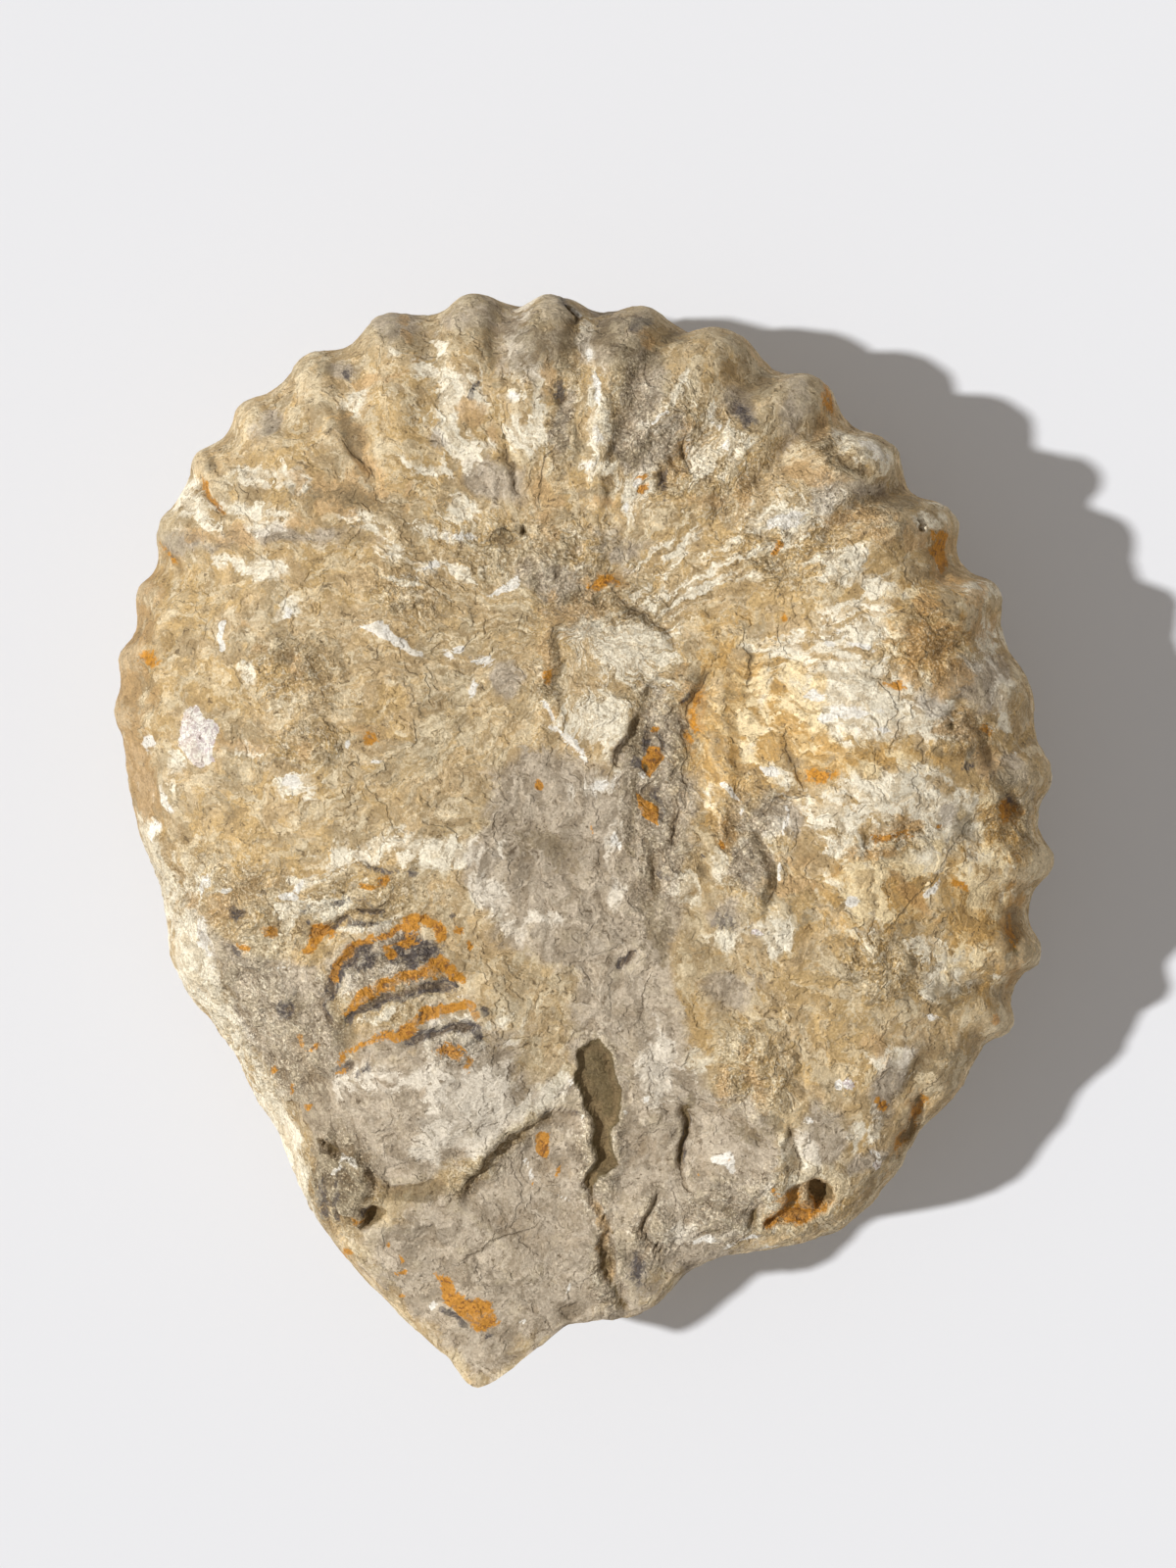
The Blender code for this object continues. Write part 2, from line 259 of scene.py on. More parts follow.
def in_shape(points, x, y):
    """Signed distance inside a closed outline, positive inside."""
    ring_points = list(points) + [points[0]]
    away = to_line(ring_points, x, y)[0]
    inside = np.zeros(np.shape(x), bool)
    for (ax, ay), (bx, by) in zip(ring_points[:-1], ring_points[1:]):
        crosses = (ay > y) != (by > y)
        at = ax + (y - ay) * (bx - ax) / ((by - ay) if by != ay else 1e-9)
        inside ^= crosses & (x < at)
    return np.where(inside, away, -away)


# Grooves: (points, half width in pixels, depth in mm)
GROOVES = [
    ([(592, 316), (580, 360), (572, 410), (556, 470), (546, 522)], 12, 0.7),
    ([(674, 322), (656, 365), (645, 400), (636, 440), (640, 472)], 12, 0.8),
    ([(792, 376), (755, 410), (718, 450), (690, 482)], 12, 1.0),
    ([(868, 412), (835, 432), (805, 452), (780, 480)], 11, 1.0),
    ([(932, 490), (900, 505), (868, 525), (850, 540)], 11, 1.2),
    ([(985, 565), (962, 585), (930, 602)], 11, 1.0), ([(846, 456), (866, 466), (884, 482)], 6, 1.6),
    ([(576, 303), (581, 316), (587, 328)], 3, 2.4), ([(500, 316), (502, 345), (494, 380)], 10, 0.6),
    ([(338, 380), (352, 430), (384, 486)], 14, 0.9), ([(262, 398), (292, 440)], 9, 0.4),
    ([(212, 462), (220, 482)], 6, 1.0), ([(200, 484), (208, 502), (224, 522)], 4, 1.4),
    ([(168, 560), (178, 568), (182, 584)], 4, 1.4), ([(985, 712), (970, 740)], 10, 1.4),
    ([(1006, 760), (1018, 780)], 8, 1.4), ([(1038, 816), (1036, 834)], 7, 1.6),
    ([(1040, 935), (1036, 975)], 8, 1.4), ([(1050, 835), (1020, 848), (985, 858)], 14, 0.6),
    ([(1045, 930), (1020, 925), (990, 918)], 14, 0.6), ([(1025, 1012), (1000, 1005), (970, 1000)], 12, 0.5),
    ([(520, 452), (523, 480), (530, 502)], 3.5, 1.0),
    ([(622, 603), (642, 618), (663, 625), (680, 644), (688, 662)], 5, 0.9),
    ([(724, 686), (712, 708), (704, 730), (703, 760)], 8, 1.2),
    ([(664, 690), (664, 740), (666, 800), (670, 860), (676, 930)], 26, 1.6),
    ([(700, 740), (702, 780), (699, 820), (692, 860)], 4, 0.6),
    ([(686, 818), (692, 836), (688, 858)], 4, 1.1), ([(664, 872), (668, 892), (674, 912)], 5, 1.2),
    ([(748, 800), (753, 826), (746, 850)], 5, 0.7),
    ([(768, 842), (782, 868), (792, 902), (788, 926)], 8, 0.9),
    ([(764, 655), (768, 676), (764, 698)], 5, 0.5),
    ([(801, 748), (812, 780), (822, 802), (800, 812), (784, 826)], 4, 0.8),
    ([(636, 985), (646, 972)], 4, 1.2), ([(603, 1208), (606, 1226), (618, 1246), (628, 1262)], 3, 1.4),
    ([(626, 1300), (634, 1320), (637, 1344)], 3.5, 1.4),
    ([(697, 1130), (701, 1160), (696, 1182), (697, 1200), (702, 1218)], 3.5, 1.1),
    ([(673, 1218), (663, 1238), (658, 1254), (664, 1270), (672, 1284)], 3.5, 1.8),
    ([(812, 1156), (815, 1180), (812, 1206)], 4, 0.9),
    ([(318, 958), (333, 950), (346, 942), (358, 936)], 4, 2.0),
    ([(366, 934), (376, 930), (388, 927)], 3, 1.2),
    ([(336, 1012), (344, 994), (358, 978), (374, 966)], 6, 1.4),
    ([(358, 1040), (378, 1024), (400, 1014), (426, 1010), (458, 1004)], 5, 1.2),
    ([(424, 1058), (446, 1050), (486, 1046)], 5, 1.2), ([(346, 1094), (366, 1084), (382, 1074)], 5, 0.8),
    ([(322, 1010), (330, 1036), (346, 1056)], 6, 0.8), ([(955, 1068), (944, 1096), (936, 1110)], 9, 1.4),
    ([(948, 1118), (938, 1146), (922, 1176)], 6, 2.2), ([(772, 1240), (771, 1258)], 4, 1.6),
    ([(352, 446), (364, 464), (380, 480)], 4, 1.0), ([(670, 476), (677, 492), (679, 506)], 4, 1.2),
    ([(698, 446), (700, 470), (703, 482)], 3, 1.0),
]
# Ledges: (points, drop in mm on the viewer's left of travel, reach in pixels of the low side)
LEDGES = [
    ([(588, 1130), (560, 1138), (534, 1152), (512, 1168), (488, 1192), (461, 1226)], 2.4, 80),
    ([(459, 1208), (430, 1206), (398, 1208), (374, 1194)], 1.5, 30),
    ([(668, 712), (652, 732), (640, 752), (620, 784)], 0.7, 16),
    ([(325, 1172), (284, 1088), (250, 1036), (222, 985), (196, 930), (172, 862), (158, 800),
      (136, 755)], 1.2, 50),
    ([(690, 1130), (700, 1160), (692, 1196)], 1.2, 22), ([(812, 1150), (803, 1180), (808, 1212)], 0.9, 16),
    ([(300, 522), (380, 520), (440, 548), (500, 590)], 0.5, 50),
    ([(800, 1180), (760, 1140), (720, 1130), (702, 1100)], 0.8, 40),
    ([(560, 1352), (610, 1340), (634, 1336)], 0.8, 12),
    ([(300, 905), (340, 890), (400, 880), (470, 890)], 0.9, 26),
    ([(500, 604), (560, 570), (600, 560)], 0.6, 30),
]
# Pits: (outline, depth in mm, wall width in pixels)
PITS = [
    ([(606, 1058), (616, 1062), (626, 1082), (630, 1106), (635, 1128), (628, 1144), (622, 1152), (623, 1166),
      (630, 1188), (620, 1202), (610, 1210), (605, 1222), (599, 1212), (608, 1190), (606, 1168), (601, 1146),
      (592, 1120), (589, 1100), (588, 1078)], 1.5, 5),
    ([(612, 1262), (624, 1256), (631, 1270), (627, 1290), (630, 1312), (622, 1316), (610, 1296),
      (606, 1278)], 1.8, 4),
    ([(803, 1214), (822, 1208), (840, 1202), (856, 1210), (857, 1226), (846, 1240), (812, 1250), (790, 1258),
      (780, 1256), (796, 1240)], 2.4, 6),
    ([(830, 1212), (842, 1204), (855, 1212), (853, 1230), (840, 1238), (828, 1228)], 3.0, 5),
    ([(362, 1252), (372, 1236), (380, 1226), (395, 1234), (392, 1246), (378, 1254)], 3.4, 4),
    ([(320, 1164), (330, 1164), (342, 1172), (341, 1180), (330, 1175)], 2.4, 3),
    ([(531, 529), (538, 536), (534, 545), (529, 540)], 1.2, 2),
    ([(945, 524), (951, 530), (949, 540), (944, 536)], 1.4, 2),
]
# Plates: (outline, rise in mm, edge width in pixels)
PLATES = [
    ([(858, 444), (900, 444), (916, 456), (914, 484), (896, 484), (872, 462)], 1.4, 5),
    ([(318, 1178), (342, 1182), (356, 1184), (372, 1194), (374, 1216), (362, 1240), (340, 1248),
      (322, 1224)], 1.6, 5),
    ([(553, 716), (600, 704), (662, 698), (650, 736), (638, 758), (622, 782), (596, 773),
      (574, 752)], 0.7, 4),
    ([(181, 722), (194, 720), (198, 736), (212, 733), (219, 756), (216, 780), (196, 782),
      (180, 750)], 0.4, 3),
    ([(1004, 592), (1020, 588), (1026, 610), (1010, 616)], 0.6, 6),
    ([(368, 632), (384, 634), (432, 662), (430, 670), (396, 660)], 0.5, 3),
]
# Lumps: (x, y, half width, half height, turn in degrees, height in mm)
LUMPS = [
    (630, 655, 62, 46, 0, 0.6), (450, 1085, 124, 132, -20, 2.7), (850, 720, 64, 64, 0, 1.0),
    (880, 812, 80, 34, -12, 0.7), (905, 885, 74, 30, -10, 0.7), (735, 760, 20, 80, 0, 1.2),
    (770, 930, 60, 50, 0, 0.8), (400, 440, 34, 66, -12, 1.6), (612, 470, 14, 70, 5, 1.4),
    (700, 590, 46, 30, -25, 0.8), (440, 880, 60, 28, 10, 1.0), (865, 990, 70, 60, 0, 0.8),
    (655, 1110, 26, 60, -10, 1.0),
]
# How far the edges of breaks and marks wander, in pixels, and over what size in mm
WARP, WARP_SIZE = 7.0, 6.0
FINE_WARP, FINE_WARP_SIZE = 3.0, 2.0
ROUGH_DEPTH = 0.7
HIDDEN_CRUMBLING = 0.35
HOLE_SMOOTHNESS = 0.8
# Room left between the looks and the CAD's box, and what counts as lying on the ground, in mm
BOX_GAP, GROUND_GAP = 0.02, 0.03


def relief(x, y):
    """Height of the placed breaks and lumps at a seen position, in mm."""
    height = np.zeros(np.shape(x))
    for cx, cy, half_w, half_h, turn, rise in LUMPS:
        height += rise * smooth_step(1.15, 0.35, in_oval(cx, cy, half_w, half_h, turn, x, y))
    for points, half, depth in GROOVES:
        away, _, share = to_line(points, x, y)
        ends = 0.3 + 0.7 * np.sin(np.pi * np.clip(share, 0.02, 0.98)) ** 0.5
        height -= depth * ends * np.exp(-((away / half) ** 2))
    for points, drop, reach in LEDGES:
        away, signed, share = to_line(points, x, y)
        ends = np.sin(np.pi * np.clip(share, 0.0, 1.0)) ** 0.4
        low = smooth_step(-2.5, 2.5, signed) * np.exp(-((np.maximum(signed, 0.0) / reach) ** 1.5))
        height -= drop * ends * low * (away < 3.0 * reach)
    for outline, depth, wall in PITS:
        height -= depth * smooth_step(-0.2 * wall, wall, in_shape(outline, x, y))
    for outline, rise, edge in PLATES:
        height += rise * smooth_step(-0.5 * edge, 0.5 * edge, in_shape(outline, x, y))
    return height


def terraces(points, size, levels, seed):
    """Flaked relief, about -1 to 1: flat treads with crisp risers between them."""
    run = fractal(points, size, seed, 4, 0.55) * levels
    tread = np.floor(run)
    return (tread + smooth_step(0.0, 0.22, run - tread)) / levels


def top_height(u, v):
    """Height of the upper side without its ribs."""
    out = np.hypot(u - UMBILICUS[0], v - UMBILICUS[1])
    right = smooth_step(WHORL_RIGHT_FROM, WHORL_RIGHT_TO, u + 0.25 * v)
    swell = np.exp(-(((out - WHORL_CREST_RADIUS) / WHORL_CREST_WIDTH) ** 2))
    share = WHORL_LEFT_SHARE + (1.0 - WHORL_LEFT_SHARE) * right
    flank = FLANK_LEVEL + WHORL_SWELL * swell * share
    tongue = TONGUE_LEVEL + TONGUE_SLOPE * (v - TONGUE_END)
    tongue = tongue + TONGUE_RIGHT_RISE * smooth_step(TONGUE_RIGHT_FROM, TONGUE_RIGHT_TO, u)
    return flank + (tongue - flank) * smooth_step(TONGUE_START, TONGUE_END, v)


def base_height(u, v):
    """Height of the underside; below 0 where it is worn flat."""
    out = np.hypot(u, v)
    rise = np.minimum(UNDERSIDE_RISE * (out / FLAT_REACH) ** 2, UNDERSIDE_RISE) - UNDERSIDE_CUT
    wave = 0.8 * np.sin(u / 13.0 + 1.0) * np.cos(v / 17.0) + 0.5 * np.sin((u + v) / 9.0)
    hollow = smooth_step(HOLLOW_RADIUS, 0.5 * HOLLOW_RADIUS, out)
    return rise + wave + (HOLLOW_RISE + UNDERSIDE_CUT) * hollow


def rib_swell(share, level, u, v):
    """How far the nearest rib stands out; share is 0 at the widest level and 1 on the flank."""
    swell = np.zeros(np.shape(u))
    for tip, reach, height, tip_width, inner_width, middle, inner in RIBS:
        edge = float(round_curve(EDGE, np.array([tip]))[0])
        end = (edge * math.cos(math.radians(tip)), edge * math.sin(math.radians(tip)))
        away, _, along = to_line([inner, middle, end], u, v)
        fade = smooth_step(0.0, RIB_FADE, along)
        width = inner_width + (tip_width - inner_width) * along
        node = 1.0 + NODE_SWELL * np.exp(-(((along - NODE_PLACE) / NODE_LENGTH) ** 2))
        crest = reach + (height * node - reach) * share
        swell = np.maximum(swell, crest * fade * np.exp(-((away / width) ** RIB_ROUNDNESS)))
    shoulder = SHOULDER_SWELL * np.exp(-(((level - SHOULDER_LEVEL) / SHOULDER_BAND) ** 2))
    return swell * (1.0 + shoulder)


def ring(angles, step, fraction, upper):
    """Points of one ring and what the looks need to know of them."""
    radius = round_curve(EDGE, angles)
    waist = round_curve(WAIST, angles)
    square = round_curve(SQUARENESS, angles)
    if not upper:
        square = np.minimum(square, LOWER_SQUARENESS)
    inside = (1.0 - step**2) ** (1.0 / square) * fraction
    share = np.sqrt(1.0 - inside**square)
    cos, sin = np.cos(np.radians(angles)), np.sin(np.radians(angles))
    u, v = radius * inside * cos, radius * inside * sin
    target = top_height(u, v) if upper else base_height(u, v)
    level = waist + (target - waist) * share
    swell = rib_swell(share, level, u, v)
    if not upper:
        swell = swell * (1.0 - UNDERSIDE_RIB_LOSS * share)
    slant = np.sqrt(1.0 - share**2)
    way = 1.0 if upper else -1.0
    points = np.stack([u + swell * slant * cos, v + swell * slant * sin, level + swell * share * way], 1)
    lean = np.stack([slant * cos, slant * sin, share * way], 1)
    facing = share if upper else -share
    return points, lean, swell, facing


def all_rings():
    """Rings from the middle of the upper side, out over the edge, to the middle of the underside."""
    columns = np.arange(COLUMNS) * 360.0 / COLUMNS

    def thinned(fraction, start):
        skip = start
        for limit in (0.5, 0.25, 0.125):
            if fraction < limit:
                skip *= 2
        return columns[::skip]

    found = []
    top = np.arange(TOP_SPACING, 0.9999, TOP_SPACING)
    for fraction in top:
        found.append(ring(thinned(fraction, 1), EDGE_TOP_STEP, fraction, True))
    lift = math.asin(EDGE_TOP_STEP)
    for k in range(EDGE_RINGS_UPPER, -1, -1):
        found.append(ring(columns, math.sin(lift * k / EDGE_RINGS_UPPER), 1.0, True))
    for k in range(1, EDGE_RINGS_LOWER + 1):
        found.append(ring(columns[::2], math.sin(lift * k / EDGE_RINGS_LOWER), 1.0, False))
    for fraction in np.arange(1.0 - BASE_SPACING, 0.5 * BASE_SPACING, -BASE_SPACING):
        found.append(ring(thinned(fraction, 2), EDGE_TOP_STEP, fraction, False))
    return found


def band_faces(outer, inner, outer_count, inner_count):
    """Triangles between two rings, of as many points or of twice as many outside."""
    j = np.arange(inner_count)
    nxt = (j + 1) % inner_count
    if outer_count == inner_count:
        first = np.stack([outer + j, outer + nxt, inner + nxt], 1)
        return np.concatenate([first, np.stack([outer + j, inner + nxt, inner + j], 1)])
    far = outer + (2 * j + 2) % outer_count
    first = np.stack([outer + 2 * j, outer + 2 * j + 1, inner + j], 1)
    second = np.stack([outer + 2 * j + 1, inner + nxt, inner + j], 1)
    return np.concatenate([first, second, np.stack([outer + 2 * j + 1, far, inner + nxt], 1)])


def stone_surface():
    """All points of the smooth ribbed stone, what is known of them, and its triangles."""
    found = all_rings()
    sizes = [len(r[0]) for r in found]
    starts = np.concatenate([[0], np.cumsum(sizes)])
    points, lean, swell, facing = (np.concatenate([r[k] for r in found]) for k in range(4))
    faces = []
    for k in range(len(found) - 1):
        here, there = sizes[k], sizes[k + 1]
        if there >= here:
            faces.append(band_faces(starts[k + 1], starts[k], there, here))
        else:
            faces.append(band_faces(starts[k], starts[k + 1], here, there)[:, ::-1])
    for k, upper in ((0, True), (len(found) - 1, False)):
        middle = len(points)
        block = slice(starts[k], starts[k] + sizes[k])
        points = np.concatenate([points, points[block].mean(axis=0)[None]])
        lean = np.concatenate([lean, np.array([[0.0, 0.0, 1.0 if upper else -1.0]])])
        swell = np.concatenate([swell, swell[block].mean()[None]])
        facing = np.concatenate([facing, np.array([1.0 if upper else -1.0])])
        j = np.arange(sizes[k])
        fan = np.stack([np.full(sizes[k], middle), starts[k] + j, starts[k] + (j + 1) % sizes[k]], 1)
        faces.append(fan if upper else fan[:, ::-1])
    return points, lean, swell, facing, np.concatenate(faces)


def hollows(points, faces, rounds):
    """How far each point lies below its smoothed surroundings, in mm."""
    a, b, c = (points[faces[:, k]] for k in range(3))
    across = np.cross(b - a, c - a)
    normal = np.zeros_like(points)
    for k in range(3):
        for axis in range(3):
            normal[:, axis] += np.bincount(faces[:, k], across[:, axis], len(points))
    normal /= np.linalg.norm(normal, axis=1)[:, None] + 1e-12
    start = np.concatenate([faces[:, 0], faces[:, 1], faces[:, 2]])
    end = np.concatenate([faces[:, 1], faces[:, 2], faces[:, 0]])
    count = np.bincount(start, minlength=len(points))[:, None]
    calm = points.copy()
    for _ in range(rounds):
        near = np.stack([np.bincount(start, calm[end, axis], len(points)) for axis in range(3)], 1)
        calm = 0.4 * calm + 0.6 * near / count
    return ((calm - points) * normal).sum(axis=1)


def build_points():
    """The stone with its rough surface and its placed breaks, kept inside the box of the CAD."""
    points, lean, swell, facing, faces = stone_surface()
    x, y = seen(points[:, 0], points[:, 1], points[:, 2])
    x = x + WARP * noise(points, WARP_SIZE, 101) + FINE_WARP * noise(points, FINE_WARP_SIZE, 103)
    y = y + WARP * noise(points, WARP_SIZE, 105) + FINE_WARP * noise(points, FINE_WARP_SIZE, 107)
    upper = smooth_step(0.0, 0.35, facing)
    crumbly = smooth_step(-1.0, 1.0, mark_field(MARKS["crumbly"], x, y)) * upper
    crumbly += HIDDEN_CRUMBLING * (1.0 - upper)
    smooth = smooth_step(-1.0, 1.0, mark_field(MARKS["hole_and_shade"], x, y)) * upper
    crumbly *= 1.0 - HOLE_SMOOTHNESS * smooth
    # Broad swells, then ledges and chips down to the finest, more of these where the stone crumbles
    rough = 0.45 * fractal(points, 16.0, 3, 3, 0.5)
    rough += 0.6 * terraces(points, 15.0, 3.0, 41)
    rough += (0.14 + 0.34 * crumbly) * terraces(points + 5.0, 6.0, 2.5, 51)
    rough += (0.10 + 0.36 * crumbly) * facets(points, 5.0, 21)
    rough += (0.05 + 0.22 * crumbly) * facets(points, 2.4, 31)
    rough -= ROUGH_DEPTH
    placed = relief(x, y) * upper
    moved = points + lean * rough[:, None]
    moved[:, 2] += placed
    worn = points[:, 2] <= 0.0
    moved[:, 2] = np.where(worn, 0.0, np.maximum(moved[:, 2], 0.0))
    moved += np.array([COIL_U, COIL_V, 0.0])
    low, high = (np.array(c) / METRES for c in cad_bounds)
    moved = np.clip(moved, low + BOX_GAP, high - BOX_GAP)
    moved[:, 2] = np.where(moved[:, 2] <= low[2] + GROUND_GAP, low[2], moved[:, 2])
    return moved, faces, x, y, swell, facing, crumbly


# ---------------------------------------------------------------- marks
def oval(x, y, half_w, half_h):
    """The rim of a small ring."""
    turns = np.arange(13) * math.pi / 6.0
    return [(x + half_w * math.cos(t), y + half_h * math.sin(t)) for t in turns]


